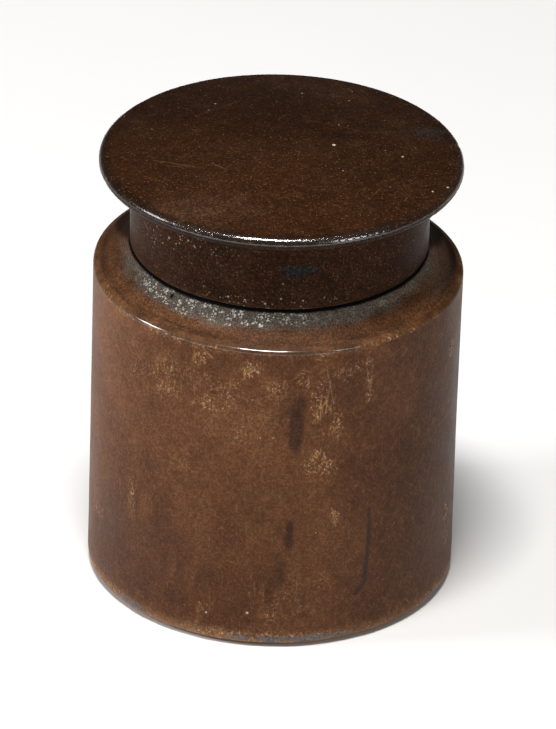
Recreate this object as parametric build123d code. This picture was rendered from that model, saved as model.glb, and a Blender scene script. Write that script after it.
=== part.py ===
from build123d import *
import math
import os

# Shoe polish tin: a round can of japanned tinplate with a sloping shoulder, a short
# neck, and a mushroom lid whose skirt slips over the neck. Millimetres, +Z up, origin
# at the centre of the base, in the plane the tin stands on. Every piece is turned
# about Z, apart from the lap of the side seam, which is at the back (+Y).

# ---- driving dimensions -------------------------------------------------------------
SHEET = 0.5  # tinplate thickness

WALL_R = 30.0  # outside radius of the can
WALL_TOP = 54.01  # top edge of the rolled wall
FOOT_R = 1.9  # outside rounding of the foot
FOOT_IN = 26.4  # inner edge of the turned-in foot flange
LAP_HALF_DEG = 6.0  # half angle of the side seam's inner lap
LAP_Z0, LAP_Z1 = 7.9, 49.6

PAN_TOP = 7.0  # top of the base plate's upturned flange
PANEL_R = 21.5  # raised middle panel of the base plate
PANEL_RISE = 1.0

SHOULDER_FLANGE_Z = 50.0  # bottom of the shoulder's turned-down flange
CORNER_R = 1.0  # outside radius of the bend between that flange and the slope
EDGE_R = 0.7  # rounding of the soldered outer edge, above the wall
SHOULDER_DEG = 24.0  # slope of the shoulder at its outer edge
SWEEP_R = 20.0  # the shoulder is a hollow sweep of this radius, steeper towards the neck

NECK_R = 23.45  # outside radius of the neck
NECK_TOP = 69.0  # top of the rolled rim
CURL_R = 0.95  # outside radius of the rolled rim
WIRE_R = 0.42  # wire inside the rolled rim
NECK_FLANGE_R = 26.3

SKIRT_R = 24.15  # outside radius of the lid's skirt
SKIRT_Z0 = 59.05  # bottom edge of the skirt
COVE_Z = 69.5  # where the skirt starts to flare
COVE_R = 3.0  # radius of the cove under the rim
FLANGE_END = 28.25  # edge of the flange that the lid's hem grips

LID_R = 29.3  # outside radius of the lid's rim
RIM_Z = 73.0  # height of the rim's widest line
RIM_UP, RIM_LOW = 1.2, 1.0  # rounding above and below that line
LID_TOP_Z = 76.2  # crown of the lid
HEM_IN = 27.4  # inner edge of the hem folded under the rim

CORK_R = 23.3
CORK_Z0, CORK_Z1 = 69.05, 74.1  # the wad lies on the rolled rim
GAP = 0.05  # between the polish and the tinplate round it
WAX_TOP, WAX_DIP = 36.2, 2.4  # level at the wall, and the hollow worn in the middle


# ---- helpers ------------------------------------------------------------------------
def p3(p):
    return (p[0], 0.0, p[1])


def on(c, r, deg):
    return (c[0] + r * math.cos(math.radians(deg)), c[1] + r * math.sin(math.radians(deg)))


def line(a, b):
    return Line(p3(a), p3(b))


def arc(c, r, a0, a1):
    return ThreePointArc(p3(on(c, r, a0)), p3(on(c, r, (a0 + a1) / 2)), p3(on(c, r, a1)))


def turned(*edges, clean=True):
    """The solid of revolution about Z of a closed outline in the XZ plane. clean=False keeps neighbouring faces of one surface apart."""
    return revolve(Face(Wire(edges)), axis=Axis.Z, revolution_arc=360, clean=clean)


def chain(points):
    return [line(a, b) for a, b in zip(points, points[1:] + points[:1])]


T = SHEET
A = math.radians(SHOULDER_DEG)
EDGE = (WALL_R - EDGE_R, WALL_TOP)
EDGE_END = on(EDGE, EDGE_R, 90 - SHOULDER_DEG)
SWEEP = (EDGE[0] + (EDGE_R + SWEEP_R) * math.sin(A), EDGE[1] + (EDGE_R + SWEEP_R) * math.cos(A))


def sweep_deg(r, depth=0.0):
    """Angle round the sweep's centre at which its surface, or one depth below it, has radius r."""
    return -90 - math.degrees(math.asin((SWEEP[0] - r) / (SWEEP_R + depth)))


def sweep_at(r, depth=0.0):
    """The point of the shoulder's outer surface, or of a surface depth below it, at radius r."""
    return on(SWEEP, SWEEP_R + depth, sweep_deg(r, depth))


def sweep(r0, r1, depth=0.0):
    return arc(SWEEP, SWEEP_R + depth, sweep_deg(r0, depth), sweep_deg(r1, depth))


# The sheet's bend at the outer edge touches both the sweep and the inside of the wall.
corner_x = WALL_R - T - CORNER_R
CORNER = (corner_x, SWEEP[1] - math.sqrt((SWEEP_R + CORNER_R) ** 2 - (SWEEP[0] - corner_x) ** 2))
CORNER_DEG = math.degrees(math.atan2(SWEEP[1] - CORNER[1], SWEEP[0] - CORNER[0]))
CORNER_END = on(CORNER, CORNER_R, CORNER_DEG)
CORNER_IN = on(CORNER, CORNER_R - T, CORNER_DEG)

# ---- can ----------------------------------------------------------------------------
foot_c = (WALL_R - FOOT_R, FOOT_R)
body_wall = turned(
    line((FOOT_IN, 0), (foot_c[0], 0)),
    arc(foot_c, FOOT_R, -90, 0),
    line((WALL_R, FOOT_R), (WALL_R, WALL_TOP)),
    line((WALL_R, WALL_TOP), (WALL_R - T, WALL_TOP)),
    line((WALL_R - T, WALL_TOP), (WALL_R - T, FOOT_R)),
    arc(foot_c, FOOT_R - T, 0, -90),
    line((foot_c[0], T), (FOOT_IN, T)),
    line((FOOT_IN, T), (FOOT_IN, 0)),
)
# The side seam: the sheet's inner end laps inside the outer end by 6 mm.
lap_face = Face(Wire(chain([
    (WALL_R - 2 * T, LAP_Z0), (WALL_R - T, LAP_Z0), (WALL_R - T, LAP_Z1), (WALL_R - 2 * T, LAP_Z1)
])))
lap = revolve(lap_face, axis=Axis.Z, revolution_arc=2 * LAP_HALF_DEG)
lap = Rot(0, 0, 90 - LAP_HALF_DEG) * lap
if lap.center().Y < 0:
    lap = Rot(0, 0, 180) * lap
body_wall = body_wall + lap

pan_r = WALL_R - T
step = 1.2
base_plate = turned(
    line((0, T + PANEL_RISE), (PANEL_R, T + PANEL_RISE)),
    line((PANEL_R, T + PANEL_RISE), (PANEL_R + step, T)),
    line((PANEL_R + step, T), (foot_c[0], T)),
    arc(foot_c, FOOT_R - T, -90, 0),
    line((pan_r, FOOT_R), (pan_r, PAN_TOP)),
    line((pan_r, PAN_TOP), (pan_r - T, PAN_TOP)),
    line((pan_r - T, PAN_TOP), (pan_r - T, FOOT_R)),
    arc(foot_c, FOOT_R - 2 * T, 0, -90),
    line((foot_c[0], 2 * T), (PANEL_R + step + 0.2, 2 * T)),
    line((PANEL_R + step + 0.2, 2 * T), (PANEL_R + 0.2, 2 * T + PANEL_RISE)),
    line((PANEL_R + 0.2, 2 * T + PANEL_RISE), (0, 2 * T + PANEL_RISE)),
    line((0, 2 * T + PANEL_RISE), (0, T + PANEL_RISE)),
)
base_seam_solder = turned(*chain([(pan_r - T + 0.05, PAN_TOP), (pan_r, PAN_TOP), (pan_r, PAN_TOP + 0.6)]))

shoulder_ring = turned(
    line((pan_r, SHOULDER_FLANGE_Z), (pan_r, CORNER[1])),
    arc(CORNER, CORNER_R, 0, CORNER_DEG),
    sweep(CORNER_END[0], NECK_R),
    line(sweep_at(NECK_R), sweep_at(NECK_R, T)),
    sweep(NECK_R, CORNER_IN[0], T),
    arc(CORNER, CORNER_R - T, CORNER_DEG, 0),
    line((pan_r - T, CORNER[1]), (pan_r - T, SHOULDER_FLANGE_Z)),
    line((pan_r - T, SHOULDER_FLANGE_Z), (pan_r, SHOULDER_FLANGE_Z)),
)
# Solder that fills the groove between the wall's top edge and the shoulder's bend.
shoulder_seam_solder = turned(
    line((pan_r, WALL_TOP), (WALL_R, WALL_TOP)),
    arc(EDGE, EDGE_R, 0, 90 - SHOULDER_DEG),
    sweep(EDGE_END[0], CORNER_END[0]),
    arc(CORNER, CORNER_R, CORNER_DEG, 0),
    line((pan_r, CORNER[1]), (pan_r, WALL_TOP)),
)

curl_c = (NECK_R - CURL_R, NECK_TOP - CURL_R)
fl_up = sweep_at(NECK_FLANGE_R, T)
fl_low = on(SWEEP, SWEEP_R + 2 * T, sweep_deg(NECK_FLANGE_R, T))
neck_collar = turned(
    sweep(NECK_FLANGE_R, NECK_R, T),
    line(sweep_at(NECK_R, T), (NECK_R, curl_c[1])),
    arc(curl_c, CURL_R, 0, 135),
    arc(curl_c, CURL_R, 135, 270),
    line(on(curl_c, CURL_R, 270), on(curl_c, CURL_R - T, 270)),
    arc(curl_c, CURL_R - T, 270, 135),
    arc(curl_c, CURL_R - T, 135, 0),
    line((NECK_R - T, curl_c[1]), sweep_at(NECK_R - T, 2 * T)),
    sweep(NECK_R - T, fl_low[0], 2 * T),
    line(fl_low, fl_up),
)
neck_rim_wire = Pos(0, 0, curl_c[1]) * Torus(curl_c[0], WIRE_R)
# Solder wiped round the foot of the neck, thinning out down the shoulder.
solder_top = [(r, sweep_at(r)[1] + t) for r, t in ((NECK_R, 0.12), (NECK_R + 0.25, 0.22), (24.2, 0.34), (25.2, 0.26), (26.2, 0.0))]
neck_seam_solder = turned(
    sweep(26.2, 25.5),
    sweep(25.5, 24.8),
    sweep(24.8, 24.1),
    sweep(24.1, NECK_R),
    line(sweep_at(NECK_R), solder_top[0]),
    *[line(a, b) for a, b in zip(solder_top, solder_top[1:-1] + [sweep_at(26.2)])],
    clean=False,
)

# ---- polish -------------------------------------------------------------------------
wax_r = pan_r - T - GAP
wax_z = 2 * T + GAP
wax_sphere_r = (wax_r**2 + WAX_DIP**2) / (2 * WAX_DIP)
wax_sphere_c = (0.0, WAX_TOP - WAX_DIP + wax_sphere_r)
wax_edge = -math.degrees(math.acos(wax_r / wax_sphere_r))
wax_polish = turned(
    line((0, wax_z + PANEL_RISE), (PANEL_R + 0.2, wax_z + PANEL_RISE)),
    line((PANEL_R + 0.2, wax_z + PANEL_RISE), (PANEL_R + step + 0.2, wax_z)),
    line((PANEL_R + step + 0.2, wax_z), (foot_c[0], wax_z)),
    arc(foot_c, FOOT_R - wax_z, -90, 0),
    line((wax_r, foot_c[1]), (wax_r, WAX_TOP)),
    arc(wax_sphere_c, wax_sphere_r, wax_edge, -90),
    line((0, WAX_TOP - WAX_DIP), (0, wax_z + PANEL_RISE)),
)

# ---- lid ----------------------------------------------------------------------------
sk_in = SKIRT_R - T
cove_c = (SKIRT_R + COVE_R, COVE_Z)
fl_z = COVE_Z + COVE_R  # underside of the skirt's flange
lid_skirt = turned(
    line((SKIRT_R, SKIRT_Z0), (SKIRT_R, COVE_Z)),
    arc(cove_c, COVE_R, 180, 90),
    line((cove_c[0], fl_z), (FLANGE_END, fl_z)),
    line((FLANGE_END, fl_z), (FLANGE_END, fl_z + T)),
    line((FLANGE_END, fl_z + T), (cove_c[0], fl_z + T)),
    arc(cove_c, COVE_R + T, 90, 180),
    line((sk_in, COVE_Z), (sk_in, SKIRT_Z0)),
    line((sk_in, SKIRT_Z0), (SKIRT_R, SKIRT_Z0)),
)

rim_c = (LID_R - RIM_UP, RIM_Z)
low_c = (LID_R - RIM_LOW, RIM_Z)
h = LID_TOP_Z - RIM_Z
dome_r = (rim_c[0] ** 2 + h**2 - RIM_UP**2) / (2 * (h - RIM_UP))
dome_c = (0.0, LID_TOP_Z - dome_r)
beta = 90 - math.degrees(math.asin(rim_c[0] / (dome_r - RIM_UP)))
hem_z = RIM_Z - RIM_LOW
lid_top = turned(
    arc(dome_c, dome_r, 90, beta),
    arc(rim_c, RIM_UP, beta, 0),
    arc(low_c, RIM_LOW, 0, -90),
    line((low_c[0], hem_z), (HEM_IN, hem_z)),
    line((HEM_IN, hem_z), (HEM_IN, hem_z + T)),
    line((HEM_IN, hem_z + T), (low_c[0], hem_z + T)),
    arc(low_c, RIM_LOW - T, -90, 0),
    arc(rim_c, RIM_UP - T, 0, beta),
    arc(dome_c, dome_r - T, beta, 90),
    line((0, LID_TOP_Z - T), (0, LID_TOP_Z)),
)
cove_at = math.degrees(math.acos((26.5 - cove_c[0]) / COVE_R))
lid_seam_solder = turned(
    arc(cove_c, COVE_R, cove_at, 90),
    line((cove_c[0], fl_z), (HEM_IN, fl_z)),
    line((HEM_IN, fl_z), (HEM_IN, fl_z - 0.42)),
    line((HEM_IN, fl_z - 0.42), on(cove_c, COVE_R, cove_at)),
)

c = 0.4
cork_wad = turned(*chain([
    (0, CORK_Z0), (CORK_R - c, CORK_Z0), (CORK_R, CORK_Z0 + c),
    (CORK_R, CORK_Z1 - c), (CORK_R - c, CORK_Z1), (0, CORK_Z1),
]))

# ---- export -------------------------------------------------------------------------
NODES = {
    "body_wall": body_wall,
    "base_plate": base_plate,
    "base_seam_solder": base_seam_solder,
    "shoulder_ring": shoulder_ring,
    "shoulder_seam_solder": shoulder_seam_solder,
    "neck_collar": neck_collar,
    "neck_rim_wire": neck_rim_wire,
    "neck_seam_solder": neck_seam_solder,
    "wax_polish": wax_polish,
    "cork_wad": cork_wad,
    "lid_skirt": lid_skirt,
    "lid_top": lid_top,
    "lid_seam_solder": lid_seam_solder,
}

os.makedirs("parts", exist_ok=True)
for name, shape in NODES.items():
    export_step(shape, os.path.join("parts", name + ".step"))
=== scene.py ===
import math

import bpy
import numpy as np
from mathutils import Matrix, Vector


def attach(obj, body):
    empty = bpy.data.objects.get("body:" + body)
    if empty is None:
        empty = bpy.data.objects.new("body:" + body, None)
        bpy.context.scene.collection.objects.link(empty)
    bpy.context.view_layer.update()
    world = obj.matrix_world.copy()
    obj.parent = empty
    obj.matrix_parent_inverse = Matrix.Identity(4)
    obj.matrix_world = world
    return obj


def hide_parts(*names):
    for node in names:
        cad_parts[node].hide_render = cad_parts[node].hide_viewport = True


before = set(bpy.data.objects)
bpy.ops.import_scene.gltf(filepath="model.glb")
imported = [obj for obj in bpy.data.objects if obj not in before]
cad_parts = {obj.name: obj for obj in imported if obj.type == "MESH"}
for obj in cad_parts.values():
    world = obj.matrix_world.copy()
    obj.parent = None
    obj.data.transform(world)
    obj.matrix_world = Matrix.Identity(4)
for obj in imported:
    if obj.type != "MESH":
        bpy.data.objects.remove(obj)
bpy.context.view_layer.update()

# Looks of a japanned tinplate shoe polish tin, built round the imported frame. Profiles are in
# millimetres (radius, height) and become metres when a mesh is made. Each piece is a closed
# turned shell with its own hand-worked unevenness, and stands for the CAD node of its name.

MM = 0.001
T = 0.5  # tinplate

# =====================================================================================
# camera
# =====================================================================================
TILT = math.radians(30.77)
ROLL = math.radians(-1.78)
DIST = 1.1339
AWAY = Vector((0, -math.cos(TILT), math.sin(TILT)))
RIGHT0, UP0 = Vector((1, 0, 0)), Vector((0, math.sin(TILT), math.cos(TILT)))
RIGHT = math.cos(ROLL) * RIGHT0 - math.sin(ROLL) * UP0
UP = math.sin(ROLL) * RIGHT0 + math.cos(ROLL) * UP0
FOCAL = 6856.6  # in widths of one part in 729 of the frame's height
look = (-AWAY * FOCAL + RIGHT * 8.61 + UP * 188.03).normalized()
up = (UP - look * UP.dot(look)).normalized()
side = look.cross(up)
cam_data = bpy.data.cameras.new("camera")
cam_data.sensor_fit = "AUTO"
cam_data.sensor_width = 36.0
cam_data.lens = math.hypot(FOCAL, 188.2) / 729 * 36.0
cam_data.clip_start, cam_data.clip_end = 0.05, 50.0
cam = bpy.data.objects.new("camera", cam_data)
bpy.context.scene.collection.objects.link(cam)
cam.matrix_world = Matrix.Translation(AWAY * DIST) @ Matrix(
    ((side.x, up.x, -look.x), (side.y, up.y, -look.y), (side.z, up.z, -look.z))
).to_4x4()
bpy.context.scene.camera = cam


# =====================================================================================
# noise and outline helpers
# =====================================================================================
def vnoise(p, seed):
    i = np.floor(p).astype(np.int64)
    f = p - i
    u = f * f * (3 - 2 * f)
    out = np.zeros(len(p))
    for dx in (0, 1):
        for dy in (0, 1):
            for dz in (0, 1):
                n = ((i[:, 0] + dx) * 73856093) ^ ((i[:, 1] + dy) * 19349663) ^ ((i[:, 2] + dz) * 83492791) ^ (seed * 40503 + 977)
                n &= 0x7FFFFFFF
                n = (n ^ (n >> 13)) * 1274126177 & 0x7FFFFFFFFFFF
                n = (n ^ (n >> 17)) & 0xFFFF
                w = (u[:, 0] if dx else 1 - u[:, 0]) * (u[:, 1] if dy else 1 - u[:, 1]) * (u[:, 2] if dz else 1 - u[:, 2])
                out += w * (n / 32767.5 - 1)
    return out


def fbm(x, y, z, freq, seed, octaves=3, gain=0.5):
    """Smooth noise in about -1..1, of any array shape, freq in cycles per millimetre."""
    x, y, z = np.broadcast_arrays(x, y, z)
    p = np.stack([x.ravel(), y.ravel(), z.ravel()], 1) * freq
    total, amp, norm = np.zeros(len(p)), 1.0, 0.0
    for o in range(octaves):
        total += amp * vnoise(p + 17.3 * o, seed + 31 * o)
        norm += amp
        amp *= gain
        p = p * 2.03
    return (total / norm * 1.6).reshape(x.shape)


def smooth(a, b, x):
    t = np.clip((x - a) / (b - a), 0, 1)
    return t * t * (3 - 2 * t)


def arc(c, r, a0, a1, n):
    t = np.radians(np.linspace(a0, a1, n + 1))
    return [(c[0] + r * math.cos(v), c[1] + r * math.sin(v)) for v in t]


def seg(a, b, step):
    n = max(1, int(math.ceil(math.hypot(b[0] - a[0], b[1] - a[1]) / step)))
    return [(a[0] + (b[0] - a[0]) * k / n, a[1] + (b[1] - a[1]) * k / n) for k in range(n + 1)]


def outline(*runs):
    """Joins runs of points into one closed outline without repeats."""
    pts = []
    for run in runs:
        for p in run:
            if not pts or math.hypot(p[0] - pts[-1][0], p[1] - pts[-1][1]) > 1e-5:
                pts.append(p)
    if math.hypot(pts[0][0] - pts[-1][0], pts[0][1] - pts[-1][1]) < 1e-5:
        pts.pop()
    return pts


def around(n, extra=()):
    """Angles round the axis in radians, n even ones, and finer ones in the (from, to, step) degree ranges of extra."""
    t = set(np.round(np.linspace(-180, 180, n, endpoint=False), 6).tolist())
    for a, b, step in extra:
        t = {v for v in t if not a < v < b} | set(np.round(np.arange(a, b, step), 6).tolist())
    return np.radians(np.array(sorted(t)))


PIECES = {}


def turned(node, body, material, pts, th, warp=None, sharp=35.0):
    """A closed shell turned about Z from a counter-clockwise outline. warp(th, r, z) bends it. It replaces the CAD node."""
    pts = np.array(pts)
    keep = pts[:, 0] > 1e-6
    ring = np.where(keep)[0]
    J, M = len(th), len(pts)
    TH = np.repeat(th[:, None], len(ring), 1)
    R = np.repeat(pts[ring, 0][None], J, 0)
    Z = np.repeat(pts[ring, 1][None], J, 0)
    if warp:
        R, Z = warp(TH, R, Z)
    X, Y = R * np.cos(TH), R * np.sin(TH)
    co = np.stack([X.ravel(), Y.ravel(), Z.ravel()], 1)
    idx = np.full((J, M), -1)
    idx[:, ring] = np.arange(J * len(ring)).reshape(J, len(ring))
    poles = []
    for k in np.where(~keep)[0]:
        z = pts[k, 1]
        if warp:
            z = float(warp(np.zeros((1, 1)), np.zeros((1, 1)), np.array([[z]]))[1][0, 0])
        idx[:, k] = len(co) + len(poles)
        poles.append((0.0, 0.0, z))
    if poles:
        co = np.vstack([co, poles])
    faces = []
    nxt = np.roll(np.arange(J), -1)
    for k in range(M):
        m = (k + 1) % M
        if not keep[k] and not keep[m]:
            continue
        a, b, c, d = idx[:, k], idx[nxt, k], idx[nxt, m], idx[:, m]
        if keep[k] and keep[m]:
            faces += np.stack([a, b, c, d], 1).tolist()
        elif keep[k]:
            faces += np.stack([a, b, c], 1).tolist()
        else:
            faces += np.stack([a, c, d], 1).tolist()
    me = bpy.data.meshes.new(node + "_look")
    me.from_pydata((co * MM).tolist(), [], faces)
    me.polygons.foreach_set("use_smooth", [True] * len(me.polygons))
    me.update()
    me.set_sharp_from_angle(angle=math.radians(sharp))
    me.materials.append(material)
    ob = bpy.data.objects.new(node + "_look", me)
    bpy.context.scene.collection.objects.link(ob)
    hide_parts(node)
    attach(ob, body)
    PIECES[node] = ob
    return ob, co


def paint(ob, name, r, g, b):
    me = ob.data
    at = me.color_attributes.new(name=name, type="FLOAT_COLOR", domain="POINT")
    n = len(me.vertices)
    buf = np.ones((n, 4), np.float32)
    for k, v in enumerate((r, g, b)):
        buf[:, k] = np.clip(np.broadcast_to(v, (n,)), 0, 1)
    at.data.foreach_set("color", buf.ravel())


def polar(co):
    return np.degrees(np.arctan2(co[:, 1], co[:, 0])), np.hypot(co[:, 0], co[:, 1]), co[:, 2]


def dang(a, b):
    """Difference of angles in degrees, -180..180."""
    return (a - b + 180) % 360 - 180


def blot(s, z, a, b, rag, edge=0.5):
    """An oval mark with a ragged edge: 1 inside, 0 outside."""
    return 1 - smooth(1 - edge, 1.0, np.hypot(s / a, z / b) + rag)


# =====================================================================================
# material helpers
# =====================================================================================
class Nodes:
    def __init__(self, name):
        self.mat = bpy.data.materials.new(name)
        self.mat.use_nodes = True
        self.t = self.mat.node_tree
        self.t.nodes.clear()
        self.out = self.t.nodes.new("ShaderNodeOutputMaterial")
        self.bsdf = self.t.nodes.new("ShaderNodeBsdfPrincipled")
        self.t.links.new(self.bsdf.outputs["BSDF"], self.out.inputs["Surface"])
        tc = self.t.nodes.new("ShaderNodeTexCoord")
        self.P = self.vec("SCALE", tc.outputs["Object"], scale=1000.0)  # millimetres

    def put(self, node, key, value):
        s = node.inputs[key]
        if isinstance(value, bpy.types.NodeSocket):
            self.t.links.new(value, s)
        elif isinstance(value, (tuple, list)) and s.type == "RGBA" and len(value) == 3:
            s.default_value = (*value, 1.0)
        else:
            s.default_value = value

    def node(self, kind, props=None, **ins):
        n = self.t.nodes.new("ShaderNode" + kind)
        for k, v in (props or {}).items():
            setattr(n, k, v)
        for k, v in ins.items():
            self.put(n, k, v)
        return n

    def vec(self, op, a, b=None, scale=None):
        n = self.node("VectorMath", {"operation": op})
        self.put(n, 0, a)
        if b is not None:
            self.put(n, 1, b)
        if scale is not None:
            n.inputs["Scale"].default_value = scale
        return n.outputs["Value" if op in ("LENGTH", "DISTANCE", "DOT_PRODUCT") else "Vector"]

    def math(self, op, a, b=None, c=None, clamp=False):
        n = self.node("Math", {"operation": op, "use_clamp": clamp})
        self.put(n, 0, a)
        if b is not None:
            self.put(n, 1, b)
        if c is not None:
            self.put(n, 2, c)
        return n.outputs[0]

    def noise(self, scale, detail=4.0, rough=0.55, stretch=None, distort=0.0, where=None):
        p = where or self.P
        if stretch:
            p = self.vec("MULTIPLY", p, stretch)
        n = self.node("TexNoise", {"noise_dimensions": "3D"}, Vector=p, Scale=scale, Detail=detail, Roughness=rough, Distortion=distort)
        return n.outputs["Fac"]

    def cells(self, scale, feature="F1", stretch=None, out="Distance", rand=1.0):
        p = self.P if not stretch else self.vec("MULTIPLY", self.P, stretch)
        n = self.node("TexVoronoi", {"feature": feature}, Vector=p, Scale=scale, Randomness=rand)
        return n.outputs[out]

    def flecks(self, scale, share, size=0.5, pick=0):
        """Small separate specks: cells per millimetre, the share of cells that hold one, and its size in cells."""
        n = self.node("TexVoronoi", {"feature": "F1"}, Vector=self.P, Scale=scale, Randomness=1.0)
        c = self.node("SeparateColor", {}, Color=n.outputs["Color"])
        on = self.math("GREATER_THAN", c.outputs[pick], 1.0 - share)
        return self.math("MULTIPLY", on, self.ramp(n.outputs["Distance"], size * 0.55, size, 1.0, 0.0))

    def speckle(self, scale, pick=0):
        """A different number in 0..1 for each small cell."""
        n = self.node("TexVoronoi", {"feature": "F1"}, Vector=self.P, Scale=scale, Randomness=1.0)
        return self.node("SeparateColor", {}, Color=n.outputs["Color"]).outputs[pick]

    def scratchy(self, turn, stretch, scale=1.0, detail=3.0):
        n = self.node("VectorRotate", {"rotation_type": "EULER_XYZ"}, Vector=self.P)
        n.inputs["Rotation"].default_value = tuple(math.radians(v) for v in turn)
        return self.noise(scale, detail, 0.6, stretch=stretch, where=n.outputs["Vector"])

    def ramp(self, x, lo, hi, a=0.0, b=1.0):
        n = self.node("MapRange", {"interpolation_type": "SMOOTHSTEP", "clamp": True})
        for k, v in zip(("Value", "From Min", "From Max", "To Min", "To Max"), (x, lo, hi, a, b)):
            self.put(n, k, v)
        return n.outputs["Result"]

    def mix(self, f, a, b):
        n = self.node("Mix", {"data_type": "RGBA"})
        n.clamp_factor = True
        self.put(n, 0, f)
        self.put(n, 6, a)
        self.put(n, 7, b)
        return n.outputs[2]

    def scaled(self, col, f):
        """A colour times a number."""
        n = self.node("VectorMath", {"operation": "SCALE"})
        self.put(n, 0, col)
        self.put(n, "Scale", f)
        return n.outputs["Vector"]

    def attr(self, name):
        a = self.node("Attribute", {"attribute_name": name, "attribute_type": "GEOMETRY"})
        s = self.node("SeparateColor", {}, Color=a.outputs["Color"])
        return s.outputs[0], s.outputs[1], s.outputs[2]

    def xyz(self):
        s = self.node("SeparateXYZ", {}, Vector=self.P)
        return s.outputs

    def stroke(self, a, b, width, soft=0.5, rag=None):
        """1 on the line from a to b, which are points in millimetres, of that width, fading out at its sides."""
        a, b = Vector(a), Vector(b)
        ab = b - a
        pa = self.vec("SUBTRACT", self.P, tuple(a))
        if ab.length < 1e-6:
            d = self.vec("LENGTH", pa)
        else:
            h = self.math("MULTIPLY", self.vec("DOT_PRODUCT", pa, tuple(ab)), 1.0 / ab.length_squared, clamp=True)
            d = self.vec("LENGTH", self.vec("SUBTRACT", pa, self.scaled(tuple(ab), h)))
        if rag is not None:
            d = self.math("ADD", d, rag)
        return self.ramp(d, width / 2 * (1 - soft), width / 2 * (1 + soft), 1.0, 0.0)

    def any(self, masks):
        out = masks[0]
        for m in masks[1:]:
            out = self.math("MAXIMUM", out, m)
        return out

    def bump(self, height, depth_mm, strength=1.0, after=None):
        n = self.node("Bump", {}, Height=height, Distance=depth_mm * MM, Strength=strength)
        if after is not None:
            self.put(n, "Normal", after)
        return n.outputs["Normal"]

    def finish(self, color, rough, normal=None, metallic=0.0, coat=0.0, coat_rough=0.2, ior=1.5, spec=0.5, coat_normal=None, coat_ior=1.5):
        b = self.bsdf
        b.inputs["Coat IOR"].default_value = coat_ior
        self.put(b, "Base Color", color)
        self.put(b, "Roughness", rough)
        self.put(b, "Metallic", metallic)
        self.put(b, "Coat Weight", coat)
        b.inputs["Coat Roughness"].default_value = coat_rough
        b.inputs["IOR"].default_value = ior
        b.inputs["Specular IOR Level"].default_value = spec
        if normal is not None:
            self.put(b, "Normal", normal)
        if coat_normal is not None:
            self.put(b, "Coat Normal", coat_normal)
        return self.mat


def at_wall(deg, z, r=30.0):
    return (r * math.cos(math.radians(deg)), r * math.sin(math.radians(deg)), z)


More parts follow.
